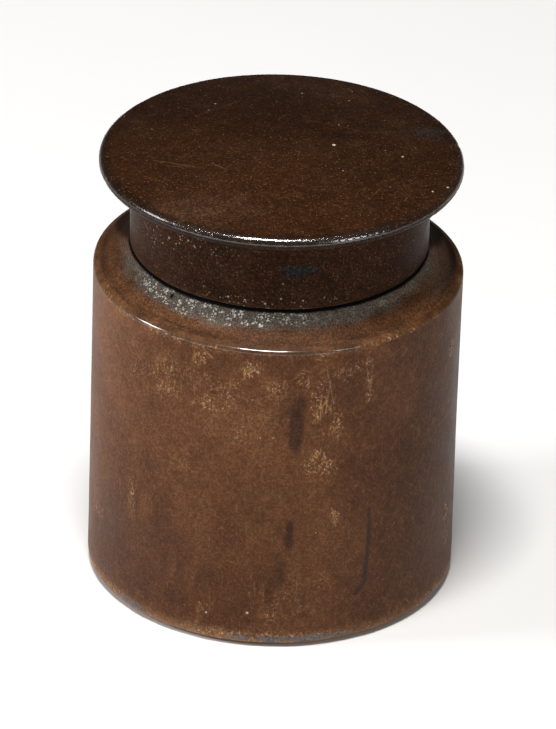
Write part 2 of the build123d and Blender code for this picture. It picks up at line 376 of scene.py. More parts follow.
# ---- japan lacquer on the can ---------------------------------------------------------
def japan_can(name, strokes_light=(), strokes_dark=(), specks=(), edge=False):
    """Translucent brown lacquer over tinplate. The painted wear holds: red, thin lacquer; green, thick dark lacquer; blue, bare metal."""
    k = Nodes(name)
    thin, thick, bare = k.attr("wear")
    big = k.noise(0.05, 3.0, 0.5)
    mid = k.noise(0.22, 6.0, 0.66)
    grain = k.noise(2.2, 4.0, 0.7)
    cell = k.speckle(4.2)
    cell2 = k.speckle(2.1, 1)
    up_ = k.scratchy((0, 0, 0), (2.6, 2.6, 0.30))
    lean = k.scratchy((28, -22, 0), (2.8, 2.8, 0.34))
    lean2 = k.scratchy((-35, 30, 0), (3.2, 3.2, 0.40))
    scr = k.math("MAXIMUM", k.ramp(up_, 0.60, 0.66), k.math("MAXIMUM", k.ramp(lean, 0.585, 0.64), k.ramp(lean2, 0.585, 0.645)))
    col = k.mix(k.ramp(big, 0.36, 0.64), (0.106, 0.0410, 0.0175), (0.152, 0.0620, 0.0270))
    col = k.mix(k.ramp(mid, 0.50, 0.70, 0.0, 0.40), col, (0.205, 0.092, 0.040))
    col = k.mix(k.ramp(mid, 0.48, 0.32, 0.0, 0.42), col, (0.068, 0.029, 0.015))
    # darker towards the foot
    col = k.scaled(col, k.ramp(k.xyz()[2], 0.0, 56.0, 0.82, 1.06))
    col = k.mix(k.ramp(k.xyz()[2], 0.2, 3.6, 0.85, 0.0), col, (0.290, 0.155, 0.080))
    # painted light: lighter towards the wall's left and darker towards its right
    col = k.scaled(col, k.math("MULTIPLY", k.ramp(k.xyz()[0], 4.0, 25.0, 1.0, 0.70), k.ramp(k.xyz()[0], -28.0, -13.0, 1.14, 0.91)))
    if edge:
        col = k.mix(1.0, col, k.mix(k.ramp(mid, 0.36, 0.64), (0.062, 0.027, 0.011), (0.155, 0.066, 0.024)))
    # rubbed thin: tan to gold, broken into short scratches and flecks
    fleck = k.math("MAXIMUM", scr, k.math("MULTIPLY", k.ramp(cell2, 0.80, 0.86), k.ramp(grain, 0.46, 0.54)))
    t = k.math("MULTIPLY", k.ramp(k.math("ADD", thin, k.math("MULTIPLY", k.math("SUBTRACT", mid, 0.5), 0.80)), 0.10, 0.84), k.math("ADD", k.math("MULTIPLY", fleck, 0.92), k.ramp(grain, 0.50, 0.62, 0.0, 0.16)), clamp=True)
    col = k.mix(k.math("MULTIPLY", thin, 0.07), col, (0.265, 0.120, 0.050))
    col = k.mix(k.math("MULTIPLY", t, 0.80, clamp=True), col, (0.52, 0.285, 0.125))
    pale = k.math("MULTIPLY", k.flecks(3.2, 0.11, 0.55, 1), k.ramp(thin, 0.18, 0.50))
    col = k.mix(k.math("MULTIPLY", pale, 0.50), col, (0.62, 0.50, 0.40))
    # a little of the same everywhere
    col = k.mix(k.math("MULTIPLY", scr, 0.15), col, (0.34, 0.180, 0.085))
    d = k.math("MULTIPLY", thick, k.ramp(mid, 0.36, 0.52, 0.6, 1.0))
    col = k.mix(d, col, (0.043, 0.0180, 0.0115))
    # metal where the lacquer is gone
    wob = k.math("ADD", k.math("MULTIPLY", grain, 0.7), k.math("MULTIPLY", mid, 0.8))
    m = k.ramp(k.math("ADD", bare, k.math("MULTIPLY", k.math("SUBTRACT", wob, 0.75), 1.1)), 0.38, 0.95)
    m = k.math("MULTIPLY", m, k.ramp(bare, 0.02, 0.12))
    gain = k.math("MULTIPLY", k.ramp(cell, 0.0, 1.0, 0.82, 1.18), k.ramp(grain, 0.30, 0.70, 0.80, 1.20))
    gain = k.math("MULTIPLY", gain, k.ramp(k.noise(0.75, 5.0, 0.7), 0.34, 0.66, 0.88, 1.12))
    col = k.scaled(col, gain)
    col = k.mix(k.math("MULTIPLY", m, 0.85), col, k.mix(k.ramp(grain, 0.38, 0.66), (0.072, 0.070, 0.074), (0.150, 0.150, 0.158)))
    marks_l = None
    if strokes_light:
        rag = k.math("MULTIPLY", k.math("SUBTRACT", grain, 0.5), 0.45)
        marks_l = k.any([k.math("MULTIPLY", k.stroke(a, b, w, 0.8, rag), s) for a, b, w, s in strokes_light])
        marks_l = k.math("MULTIPLY", marks_l, k.ramp(cell2, 0.1, 0.5, 0.35, 1.0))
        col = k.mix(marks_l, col, (0.42, 0.255, 0.135))
    if strokes_dark:
        rag = k.math("MULTIPLY", k.math("SUBTRACT", mid, 0.5), 1.0)
        marks_d = k.any([k.math("MULTIPLY", k.stroke(a, b, w, 0.9, rag), s) for a, b, w, s in strokes_dark])
        col = k.mix(marks_d, col, (0.030, 0.020, 0.019))
    if specks:
        dots = k.any([k.math("MULTIPLY", k.stroke(a, a, w, 0.5), s) for a, w, s in specks])
        col = k.mix(dots, col, (0.62, 0.58, 0.53))
    rough = k.math("ADD", k.ramp(mid, 0.35, 0.65, 0.40, 0.50), k.math("MULTIPLY", thin, 0.10))
    rough = k.math("SUBTRACT", rough, k.math("MULTIPLY", thick, 0.08))
    rough = k.math("SUBTRACT", rough, k.math("MULTIPLY", m, 0.06), clamp=True)
    metal = k.math("MULTIPLY", m, 0.55)
    h = k.math("ADD", k.math("MULTIPLY", mid, 0.6), k.math("MULTIPLY", grain, 0.35))
    h = k.math("SUBTRACT", h, k.math("MULTIPLY", m, 0.30))
    nrm = k.bump(h, 0.05, 1.0)
    nrm = k.bump(k.math("SUBTRACT", 1.0, scr), 0.006, 1.0, nrm)
    if marks_l is not None:
        nrm = k.bump(k.math("SUBTRACT", 1.0, marks_l), 0.015, 1.0, nrm)
    if edge:
        shine = k.math("MULTIPLY", k.attr("shine")[0], k.ramp(mid, 0.40, 0.52, 0.55, 1.0))
        return k.finish(col, k.math("ADD", rough, 0.08, clamp=True), nrm, metal, coat=shine, coat_rough=0.12, spec=0.08, coat_ior=1.8)
    return k.finish(col, rough, nrm, metal, coat=0.02, coat_rough=0.28, spec=0.065)


def japan_shoulder(name):
    """The same lacquer where thumbs and the lid have worked on it. Wear: red, thin, with painted light on the right;
    green, black grime and painted shade in the crevice, and the lid's painted shadow on the back; blue, grey chalky
    haze, partly painted sheen.
    """
    k = Nodes(name)
    thin, grime_and_shade, haze_and_painted_light = k.attr("wear")
    mid = k.noise(0.30, 6.0, 0.66)
    grain = k.noise(3.4, 4.0, 0.72)
    fine = k.noise(5.5, 3.0, 0.7)
    cell = k.speckle(4.2)
    col = k.mix(k.ramp(mid, 0.36, 0.64), (0.046, 0.0192, 0.0098), (0.086, 0.0362, 0.0180))
    col = k.mix(k.math("MULTIPLY", thin, k.ramp(grain, 0.40, 0.60, 0.45, 1.0)), col, (0.174, 0.072, 0.027))
    gain = k.math("MULTIPLY", k.ramp(cell, 0.0, 1.0, 0.74, 1.26), k.ramp(grain, 0.34, 0.66, 0.72, 1.28))
    col = k.scaled(col, gain)
    wob = k.math("ADD", k.math("MULTIPLY", grain, 0.6), k.math("MULTIPLY", mid, 0.5))
    # grey chalky haze, partly a painted sheen of the light beside the neck
    haze_light_mix = k.math("ADD", haze_and_painted_light, k.math("MULTIPLY", k.math("SUBTRACT", wob, 0.55), 2.0))
    haze_light_mix = k.math("MULTIPLY", k.ramp(haze_light_mix, 0.12, 1.0), k.ramp(haze_and_painted_light, 0.0, 0.25))
    grey = k.mix(k.ramp(fine, 0.40, 0.62), (0.056, 0.046, 0.036), (0.270, 0.240, 0.192))
    col = k.mix(k.math("MULTIPLY", haze_light_mix, 0.92), col, grey)
    # white specks: painted glints on the dusty shoulder, only where the shine attribute's green channel lets them
    painted_glints = k.math("MAXIMUM", k.flecks(4.2, 0.32, 0.70), k.flecks(2.2, 0.30, 0.60, 1))
    painted_glints = k.math("MULTIPLY", painted_glints, k.attr("shine")[1])
    painted_glints = k.math("MULTIPLY", painted_glints, k.ramp(k.math("MULTIPLY", haze_and_painted_light, k.ramp(k.noise(0.8, 4.0, 0.6), 0.42, 0.60, 0.50, 1.25)), 0.54, 0.82))
    col = k.mix(k.math("MULTIPLY", painted_glints, 0.9), col, (0.95, 0.92, 0.83))
    # near-black: grime and painted shade in the crevice under the skirt, and the lid's painted shadow on the back
    col = k.mix(grime_and_shade, col, (0.0060, 0.0045, 0.0040))
    rough = k.math("ADD", k.ramp(mid, 0.3, 0.7, 0.50, 0.60), k.math("MULTIPLY", haze_light_mix, 0.15), clamp=True)
    rough = k.math("ADD", rough, k.math("MULTIPLY", grime_and_shade, 0.45), clamp=True)
    h = k.math("ADD", k.math("MULTIPLY", grain, 0.5), k.math("MULTIPLY", k.math("MULTIPLY", fine, haze_and_painted_light), 0.8))
    h = k.math("ADD", h, k.math("MULTIPLY", painted_glints, 0.7))
    return k.finish(col, rough, k.bump(h, 0.07, 1.0), 0.0, coat=k.math("MULTIPLY", k.attr("shine")[0], k.ramp(mid, 0.4, 0.55, 0.4, 1.0)), coat_rough=0.14, spec=0.075)


# ---- japan lacquer on the lid ---------------------------------------------------------
def japan_lid(name, strokes=(), specks=(), gold=0.07, pale=0.006, sheen=0.065, top=False):
    """Thick dark lacquer full of fine specks. Wear: red, tan rubbed haze, with painted sheen and painted light in it;
    green, grey-blue smear; blue, bare metal edge.
    """
    k = Nodes(name)
    haze_and_painted_light, smear, bare = k.attr("wear")
    big = k.noise(0.06, 3.0, 0.5)
    mid = k.noise(0.40, 6.0, 0.66)
    grain = k.noise(2.8, 4.0, 0.72)
    cell = k.speckle(4.4)
    craze = k.cells(0.30, "DISTANCE_TO_EDGE", rand=1.0)
    scr = k.scratchy((20, 15, 40), (0.30, 2.8, 2.8))
    scr2 = k.scratchy((-10, 25, -35), (0.28, 3.0, 3.0))
    col = k.mix(k.ramp(big, 0.36, 0.64), (0.0240, 0.0086, 0.0029), (0.0330, 0.0121, 0.0041))
    col = k.mix(k.ramp(mid, 0.50, 0.68, 0.0, 0.35), col, (0.052, 0.0215, 0.0090))
    col = k.mix(k.ramp(mid, 0.48, 0.34, 0.0, 0.4), col, (0.015, 0.0065, 0.0038))
    front = k.ramp(k.xyz()[1], -16.0, 18.0, 1.0, 0.0)
    # painted shade: the back of the lid's top is darkened to about half of the front
    if top:
        col = k.scaled(col, k.math("ADD", 0.54, k.math("MULTIPLY", front, 0.46)))
    # tan rubbed haze, which also holds painted sheen on the top and painted light on the skirt's left
    haze_light_mix = k.math("MULTIPLY", haze_and_painted_light, k.ramp(k.math("ADD", k.math("MULTIPLY", grain, 0.5), k.math("MULTIPLY", mid, 0.5)), 0.40, 0.60, 0.45, 1.0))
    col = k.mix(k.math("MULTIPLY", haze_light_mix, 0.70), col, (0.120, 0.060, 0.033))
    # painted shade: darkened by up to half where the shine attribute's blue channel is painted, inside the rim
    col = k.scaled(col, k.math("SUBTRACT", 1.0, k.math("MULTIPLY", k.attr("shine")[2], 0.50)))
    gain = k.math("MULTIPLY", k.ramp(cell, 0.0, 1.0, 0.70, 1.30), k.ramp(grain, 0.34, 0.66, 0.62, 1.38))
    col = k.scaled(col, gain)
    col = k.mix(k.math("MULTIPLY", k.flecks(3.8, gold, 0.55, 0), k.math("ADD", 0.15, k.math("MULTIPLY", front, 0.40))), col, (0.185, 0.078, 0.026))
    col = k.mix(k.math("MULTIPLY", k.flecks(3.0, gold * 0.5, 0.42, 1), 0.5), col, (0.200, 0.110, 0.055))
    col = k.mix(k.math("MULTIPLY", k.math("MULTIPLY", k.flecks(2.6, pale, 0.40, 2), k.ramp(mid, 0.45, 0.55, 0.3, 1.0)), k.ramp(k.attr("shine")[1], 0.0, 1.0, 0.12, 0.85)), col, (0.42, 0.36, 0.30))
    s_ = k.math("MAXIMUM", k.ramp(scr, 0.60, 0.70), k.ramp(scr2, 0.61, 0.71))
    col = k.mix(k.math("MULTIPLY", s_, 0.11), col, (0.150, 0.072, 0.034))
    line = k.math("MULTIPLY", k.ramp(craze, 0.0, 0.035, 1.0, 0.0), k.ramp(mid, 0.54, 0.62))
    col = k.mix(k.math("MULTIPLY", line, 0.16), col, (0.100, 0.044, 0.018))
    sm = k.math("MULTIPLY", smear, k.ramp(mid, 0.38, 0.50, 0.35, 1.0))
    col = k.mix(sm, col, k.mix(k.ramp(grain, 0.50, 0.64), (0.0105, 0.0130, 0.0150), (0.052, 0.060, 0.062)))
    m = k.math("MULTIPLY", bare, k.ramp(k.math("ADD", k.math("MULTIPLY", grain, 0.6), k.math("MULTIPLY", mid, 0.6)), 0.46, 0.66))
    col = k.mix(k.math("MULTIPLY", m, 0.9), col, (0.20, 0.19, 0.175))
    marks = None
    if strokes:
        rag = k.math("MULTIPLY", k.math("SUBTRACT", grain, 0.5), 0.45)
        marks = k.any([k.math("MULTIPLY", k.stroke(a, b, w, 0.8, rag), s) for a, b, w, s in strokes])
        marks = k.math("MULTIPLY", marks, k.ramp(cell, 0.1, 0.6, 0.35, 1.0))
        col = k.mix(k.math("MULTIPLY", marks, 0.75), col, (0.20, 0.105, 0.052))
    dots = [k.math("MULTIPLY", k.stroke(a, a, w, 0.5), s) for a, w, s in specks]
    if dots:
        col = k.mix(k.any(dots), col, (0.70, 0.66, 0.60))
    rough = k.math("ADD", k.ramp(mid, 0.35, 0.65, 0.30, 0.40), k.math("MULTIPLY", haze_and_painted_light, 0.14), clamp=True)
    h = k.math("ADD", k.math("MULTIPLY", mid, 0.5), k.math("MULTIPLY", grain, 0.6))
    nrm = k.bump(h, 0.050, 1.0)
    nrm = k.bump(cell, 0.006, 1.0, nrm)
    if marks is not None:
        nrm = k.bump(k.math("SUBTRACT", 1.0, marks), 0.015, 1.0, nrm)
    orange = k.bump(k.math("ADD", k.noise(1.6, 3.0, 0.6), k.math("MULTIPLY", cell, 0.12)), 0.040, 1.0)
    coat = k.math("MULTIPLY", k.attr("shine")[0], k.ramp(mid, 0.36, 0.50, 0.70, 1.0))
    return k.finish(col, rough, nrm, k.math("MULTIPLY", m, 0.5), coat=coat, coat_rough=0.125, spec=sheen, coat_normal=orange, coat_ior=2.3)


def bare_tin(name):
    """Tinned sheet that the lid has rubbed: grey, with brown lacquer left in patches and turning scratches round it."""
    k = Nodes(name)
    stain, grime_and_shade, _ = k.attr("wear")
    mid = k.noise(0.5, 6.0, 0.62)
    grain = k.noise(3.5, 4.0, 0.65)
    rings = k.noise(1.0, 5.0, 0.7, stretch=(0.06, 0.06, 3.2))
    col = k.mix(k.ramp(mid, 0.3, 0.7), (0.235, 0.225, 0.210), (0.40, 0.385, 0.36))
    col = k.mix(k.ramp(rings, 0.52, 0.72, 0.0, 0.5), col, (0.50, 0.485, 0.46))
    s = k.math("ADD", stain, k.math("MULTIPLY", k.math("SUBTRACT", k.math("ADD", k.math("MULTIPLY", mid, 0.7), k.math("MULTIPLY", grain, 0.3)), 0.5), 1.6))
    s = k.ramp(s, 0.42, 0.60)
    col = k.mix(s, col, k.mix(k.ramp(grain, 0.3, 0.7), (0.075, 0.034, 0.018), (0.165, 0.082, 0.040)))
    col = k.mix(k.math("MULTIPLY", k.ramp(grain, 0.56, 0.72), 0.35), col, (0.11, 0.075, 0.05))
    # near-black at the foot of the neck: dirt and painted shade in the crevice under the skirt
    col = k.mix(k.math("MULTIPLY", grime_and_shade, 0.96), col, (0.0060, 0.0045, 0.0040))
    s = k.math("MAXIMUM", s, grime_and_shade)
    rough = k.math("ADD", k.ramp(rings, 0.3, 0.7, 0.30, 0.44), k.math("MULTIPLY", s, 0.12))
    nrm = k.bump(rings, 0.012, 1.0)
    nrm = k.bump(k.math("ADD", k.math("MULTIPLY", mid, 0.5), k.math("MULTIPLY", s, 0.5)), 0.03, 1.0, nrm)
    return k.finish(col, rough, nrm, k.math("MULTIPLY", k.math("SUBTRACT", 1.0, s), 0.85))


def solder_mat(name, brown=0.35):
    """Dull wiped solder: grey, crumbly, with pale oxide and lacquer in its hollows."""
    k = Nodes(name)
    dirt, _, _ = k.attr("wear")
    mid = k.noise(0.9, 5.0, 0.6)
    grain = k.noise(4.2, 4.0, 0.75)
    cell = k.cells(1.5)
    col = k.mix(k.ramp(grain, 0.32, 0.70), (0.080, 0.074, 0.066), (0.27, 0.262, 0.25))
    col = k.mix(k.ramp(mid, 0.58, 0.40, 0.0, 0.7), col, (0.080, 0.052, 0.034))
    col = k.mix(k.ramp(grain, 0.66, 0.74, 0.0, 0.85), col, (0.66, 0.64, 0.60))
    d = k.ramp(k.math("ADD", dirt, k.math("MULTIPLY", k.math("SUBTRACT", mid, 0.5), 1.4)), 0.40, 0.68)
    col = k.mix(k.math("MULTIPLY", d, 0.9), col, (0.085, 0.040, 0.021))
    rough = k.ramp(grain, 0.3, 0.7, 0.30, 0.58)
    nrm = k.bump(k.math("ADD", k.math("MULTIPLY", grain, 0.6), k.math("MULTIPLY", cell, 0.5)), 0.16, 1.0)
    return k.finish(col, rough, nrm, k.math("MULTIPLY", k.math("SUBTRACT", 1.0, d), 0.55))


def wax_mat(name):
    """Hard dark brown wax paste: faint brushed rings, a dry bloom on the crests, glossier in the worn hollow."""
    k = Nodes(name)
    worn, bloom, crack = k.attr("wear")
    mid = k.noise(0.35, 6.0, 0.6)
    grain = k.noise(2.8, 5.0, 0.65)
    col = k.mix(k.ramp(mid, 0.3, 0.7), (0.040, 0.0150, 0.0068), (0.068, 0.027, 0.0125))
    b = k.math("MULTIPLY", bloom, k.ramp(grain, 0.40, 0.72))
    col = k.mix(k.math("MULTIPLY", b, 0.6), col, (0.155, 0.092, 0.058))
    col = k.mix(k.math("MULTIPLY", worn, 0.35), col, (0.055, 0.020, 0.0085))
    col = k.mix(crack, col, (0.012, 0.006, 0.004))
    rough = k.math("SUBTRACT", k.ramp(grain, 0.3, 0.7, 0.42, 0.60), k.math("MULTIPLY", worn, 0.14))
    nrm = k.bump(k.math("ADD", k.math("MULTIPLY", mid, 0.4), k.math("MULTIPLY", grain, 0.4)), 0.10, 1.0)
    return k.finish(col, rough, nrm, 0.0, coat=k.math("MULTIPLY", worn, 0.25), coat_rough=0.28)


def cork_mat(name):
    """Natural cork: warm tan with dark lenticels, a pressed ring and brown polish stain."""
    k = Nodes(name)
    stain, press, _ = k.attr("wear")
    mid = k.noise(0.28, 6.0, 0.62)
    grain = k.noise(2.4, 6.0, 0.72)
    len_ = k.noise(0.5, 3.0, 0.6, stretch=(0.35, 1.7, 1.2), distort=0.6)
    cell = k.cells(2.2)
    col = k.mix(k.ramp(mid, 0.3, 0.7), (0.40, 0.245, 0.128), (0.57, 0.385, 0.225))
    col = k.mix(k.ramp(grain, 0.50, 0.76, 0.0, 0.6), col, (0.27, 0.150, 0.073))
    pit = k.ramp(len_, 0.66, 0.72)
    col = k.mix(k.math("MULTIPLY", pit, 0.85), col, (0.090, 0.045, 0.022))
    s = k.ramp(k.math("ADD", stain, k.math("MULTIPLY", k.math("SUBTRACT", mid, 0.5), 1.0)), 0.35, 0.75)
    col = k.mix(k.math("MULTIPLY", s, 0.8), col, (0.105, 0.046, 0.021))
    col = k.mix(k.math("MULTIPLY", press, 0.35), col, (0.17, 0.095, 0.05))
    rough = k.ramp(grain, 0.3, 0.7, 0.72, 0.88)
    h = k.math("SUBTRACT", k.math("ADD", k.math("MULTIPLY", grain, 0.4), k.math("MULTIPLY", cell, 0.3)), k.math("MULTIPLY", pit, 0.8))
    nrm = k.bump(h, 0.14, 1.0)
    return k.finish(col, rough, nrm)


def wire_mat(name):
    k = Nodes(name)
    grain = k.noise(3.0, 4.0, 0.6)
    col = k.mix(k.ramp(grain, 0.35, 0.7), (0.30, 0.29, 0.28), (0.16, 0.10, 0.06))
    return k.finish(col, k.ramp(grain, 0.3, 0.7, 0.32, 0.5), k.bump(grain, 0.02), 0.9)


def floor_mat(name):
    k = Nodes(name)
    n = k.noise(0.02, 3.0, 0.5)
    col = k.mix(n, (0.86, 0.86, 0.86), (0.88, 0.88, 0.88))
    return k.finish(col, 0.65, None, 0.0, spec=0.2)


# =====================================================================================
# shared profile of the can's outside
# =====================================================================================
A = math.radians(24.0)
EDGE = (29.3, 54.01)
EDGE_END = (EDGE[0] + 0.7 * math.sin(A), EDGE[1] + 0.7 * math.cos(A))
SWR = 20.0
SWEEP = (EDGE[0] + (0.7 + SWR) * math.sin(A), EDGE[1] + (0.7 + SWR) * math.cos(A))


def sweep_z(r, depth=0.0):
    """Height of the shoulder's hollow sweep at radius r, or of a surface that much below it."""
    return SWEEP[1] - np.sqrt((SWR + depth) ** 2 - (SWEEP[0] - r) ** 2)


def sweep(r0, r1, step, depth=0.0):
    n = max(2, int(abs(r1 - r0) / step))
    return [(r, float(sweep_z(r, depth))) for r in np.linspace(r0, r1, n + 1)]


CX = 28.5
CORNER = (CX, SWEEP[1] - math.sqrt((SWR + 1.0) ** 2 - (SWEEP[0] - CX) ** 2))
CDEG = math.degrees(math.atan2(SWEEP[1] - CORNER[1], SWEEP[0] - CORNER[0]))
CORNER_END = (CX + math.cos(math.radians(CDEG)), CORNER[1] + math.sin(math.radians(CDEG)))
CORNER_IN = (CX + 0.5 * math.cos(math.radians(CDEG)), CORNER[1] + 0.5 * math.sin(math.radians(CDEG)))

TH_CAN = around(480)


def can_warp(th, r, z):
    """Hand-worked unevenness of the rolled can: never outside the true cylinder, and dying out at the foot and at the neck."""
    x, y = r * np.cos(th), r * np.sin(th)
    up_ = smooth(3.0, 9.0, z)
    near = smooth(24.2, 27.0, r)
    wave = 0.5 + 0.5 * fbm(x, y, z * 0.6, 0.045, 5, 2)
    fine = 0.5 + 0.5 * fbm(x, y, z, 0.16, 9, 2)
    inward = (0.16 * np.clip(wave, 0, 1) + 0.035 * np.clip(fine, 0, 1)) * up_ * near
    # a soft dent low at the back left, and a flat at the right
    for deg, zc, wd, wz, amp in ((128, 18, 9.0, 8.0, 0.42), (-20, 30, 8.0, 16.0, 0.14), (58, 40, 6.0, 6.0, 0.20), (-150, 12, 7.0, 6.0, 0.16)):
        s = 30.0 * np.radians(dang(np.degrees(th), deg))
        inward = inward + amp * np.exp(-((s / wd) ** 2) - ((z - zc) / wz) ** 2) * near * up_
    # the lapped side seam at the back: the sheet's end stands over the lap as a fine step
    s = 30.0 * np.radians(dang(np.degrees(th), 90.0))
    wallish = smooth(29.2, 29.6, r) * smooth(3.0, 5.0, z) * (1 - smooth(53.2, 54.0, z))
    inward = inward + 0.13 * (smooth(-0.35, 0.0, s) - smooth(0.0, 4.5, s)) * wallish
    # the soldered shoulder was not set quite level
    dz = -0.16 * np.cos(th) * smooth(25.0, 29.4, r) * smooth(49.0, 53.5, z)
    dz = dz + 0.05 * fbm(x, y, z * 0.0, 0.10, 21, 2) * smooth(50.0, 54.0, z) * near
    return r - inward, z + dz


# =====================================================================================
# the can
# =====================================================================================
foot = (28.1, 1.9)
wall_pts = outline(
    seg((26.4, 0.12), (26.52, 0.0), 0.1),
    seg((26.52, 0.0), (28.1, 0.0), 0.4),
    arc(foot, 1.9, -90, 0, 14),
    seg((30.0, 1.9), (30.0, 54.01), 0.5),
    seg((30.0, 54.01), (29.5, 54.01), 0.25),
    seg((29.5, 54.01), (29.5, 1.9), 2.0),
    arc(foot, 1.4, 0, -90, 8),
    seg((28.1, 0.5), (26.4, 0.5), 0.6),
)


def wall_warp(th, r, z):
    r2, z2 = can_warp(th, r, z)
    # small dings round the foot, where the can has been set down hard
    x, y = r * np.cos(th), r * np.sin(th)
    n = fbm(x, y, z * 0.4, 0.22, 33, 2)
    low = 1 - smooth(2.0, 5.0, z)
    r2 = r2 - 0.10 * np.clip(n, 0, 1) * low * smooth(28.3, 29.6, r)
    return r2, z2


# wear marks on the wall: (angle, height, half width, half height, strength)
THIN = [
    (-113.5, 52.0, 3.0, 2.4, 0.75), (-97.6, 51.0, 3.6, 2.6, 0.72), (-104.0, 48.0, 5.0, 3.0, 0.45),
    (-75.4, 45.5, 3.4, 10.5, 0.62), (-70.5, 41.5, 2.4, 6.0, 0.5), (-75.3, 35.4, 2.0, 2.8, 0.85),
    (-70.2, 23.6, 1.2, 2.3, 0.9), (-59.8, 47.5, 1.4, 6.0, 0.74), (-136.0, 46.0, 6.0, 7.0, 0.35),
    (-118.0, 33.0, 5.0, 6.0, 0.25), (-96.0, 10.5, 6.5, 3.6, 0.20), (-73.5, 33.5, 6.0, 3.6, 0.55), (-82.0, 8.5, 9.0, 6.0, 0.30),
    (-139.0, 22.0, 2.0, 6.0, 0.45), (-100.0, 42.0, 15.0, 11.0, 0.26), (-110.0, 6.5, 5.0, 2.2, 0.34),
    (-146.0, 22.0, 3.0, 9.0, 0.25), (-45.0, 50.0, 4.0, 2.0, 0.3), (-88.0, 6.0, 3.0, 1.6, 0.55),
    (-75.0, 12.0, 3.5, 3.5, 0.25), (-64.0, 30.0, 3.0, 4.0, 0.2),
    (-122.0, 46.5, 10.0, 7.5, 0.38), (-106.0, 46.0, 9.0, 7.0, 0.42), (-98.0, 39.0, 5.0, 8.0, 0.34), (-89.0, 47.5, 4.5, 4.5, 0.50),
    (-81.0, 49.0, 4.0, 3.5, 0.50), (-112.0, 43.4, 5.5, 1.5, 0.72), (-68.0, 50.0, 5.0, 3.0, 0.40),
]
THICK = [
    (-83.1, 40.7, 1.35, 5.4, 0.95), (-81.6, 45.2, 1.1, 1.3, 0.8), (-83.9, 21.0, 0.95, 4.6, 0.78), (-85.4, 15.4, 0.8, 2.4, 0.55), (-84.6, 43.8, 1.3, 1.1, 0.85),
    (-86.3, 14.5, 1.5, 4.0, 0.45), (-89.6, 10.2, 1.2, 3.0, 0.38), (-126.0, 16.0, 8.0, 6.0, 0.32),
    # the broad entries low at -138 and -44 darken the lower left and lower right of the wall
    (-138.0, 13.0, 17.0, 12.0, 0.42), (-44.0, 12.0, 14.0, 11.0, 0.28), (-50.0, 30.0, 8.0, 14.0, 0.14), (-58.0, 46.0, 9.5, 9.0, 0.24), (-92.0, 28.0, 8.0, 5.0, 0.16), (-30.0, 40.0, 6.0, 12.0, 0.15),
]
BARE = [
    (-136.5, 1.8, 5.5, 1.1, 0.95), (-127.0, 1.6, 3.0, 0.8, 0.50), (-99.0, 1.6, 3.6, 0.8, 0.85), (-88.0, 1.5, 5.0, 0.8, 0.95),
    (-76.0, 1.5, 5.5, 0.9, 0.95), (-65.5, 1.3, 3.4, 0.7, 0.85), (-48.0, 1.3, 3.0, 0.5, 0.4),
]
rng = np.random.default_rng(11)
for _ in range(26):  # the sides and back, which have had the same life
    d = rng.uniform(-25, 205)
    THIN.append((d, rng.uniform(4, 53), rng.uniform(1.0, 4.5), rng.uniform(1.5, 7.0), rng.uniform(0.25, 0.8)))
for _ in range(7):
    THICK.append((rng.uniform(-20, 200), rng.uniform(8, 48), rng.uniform(0.6, 1.8), rng.uniform(2.5, 7.0), rng.uniform(0.35, 0.8)))
for _ in range(11):
    BARE.append((rng.uniform(-30, 210), rng.uniform(1.2, 2.4), rng.uniform(2.0, 6.0), rng.uniform(0.6, 1.3), rng.uniform(0.7, 1.0)))


def wall_wear(co):
    deg, r, z = polar(co)
    x, y = co[:, 0], co[:, 1]
    rag = 0.45 * fbm(x, y, z, 0.45, 3, 4, 0.6)
    rag_v = 0.40 * fbm(x, y, z * 0.35, 0.55, 4, 3, 0.6)
    thin, thick, bare = np.zeros(len(co)), np.zeros(len(co)), np.zeros(len(co))
    for d, zc, a, b, k in THIN:
        s = 30 * np.radians(dang(deg, d))
        thin = np.maximum(thin, k * blot(s, z - zc, a, b, rag, 0.85))
    for d, zc, a, b, k in THICK:
        s = 30 * np.radians(dang(deg, d))
        thick = np.maximum(thick, k * blot(s, z - zc, a, b, rag_v * 0.8, 0.35 if k > 0.6 else 0.55))
    for d, zc, a, b, k in BARE:
        s = 30 * np.radians(dang(deg, d))
        bare = np.maximum(bare, k * blot(s, z - zc, a, b, rag * 0.8, 0.5))
    # rubbed along the top edge and the foot
    edge = smooth(52.9, 54.0, z)
    thin = np.maximum(thin, edge * np.clip(0.25 + 0.45 * fbm(x, y, z, 0.12, 8, 2), 0, 1))
    thin = np.maximum(thin, (1 - smooth(0.6, 4.2, z)) * np.clip(0.62 + 0.5 * fbm(x, y, z, 0.14, 6, 2), 0, 1))
    bare = np.maximum(bare, (1 - smooth(0.02, 0.12, z)) * 0.3)
    inside = (r < 29.62) & (z > 0.3) & (z < 54.0)
    thin = np.where(inside, 0.15, thin)
    thick = np.where(inside, 0.0, thick)
    bare = np.where(inside, np.clip(0.55 + 0.4 * fbm(x, y, z, 0.1, 14, 3), 0, 1), bare)
    return thin, thick, bare


def run(points, width, strength):
    return [(at_wall(*a), at_wall(*b), width, strength) for a, b in zip(points[:-1], points[1:])]


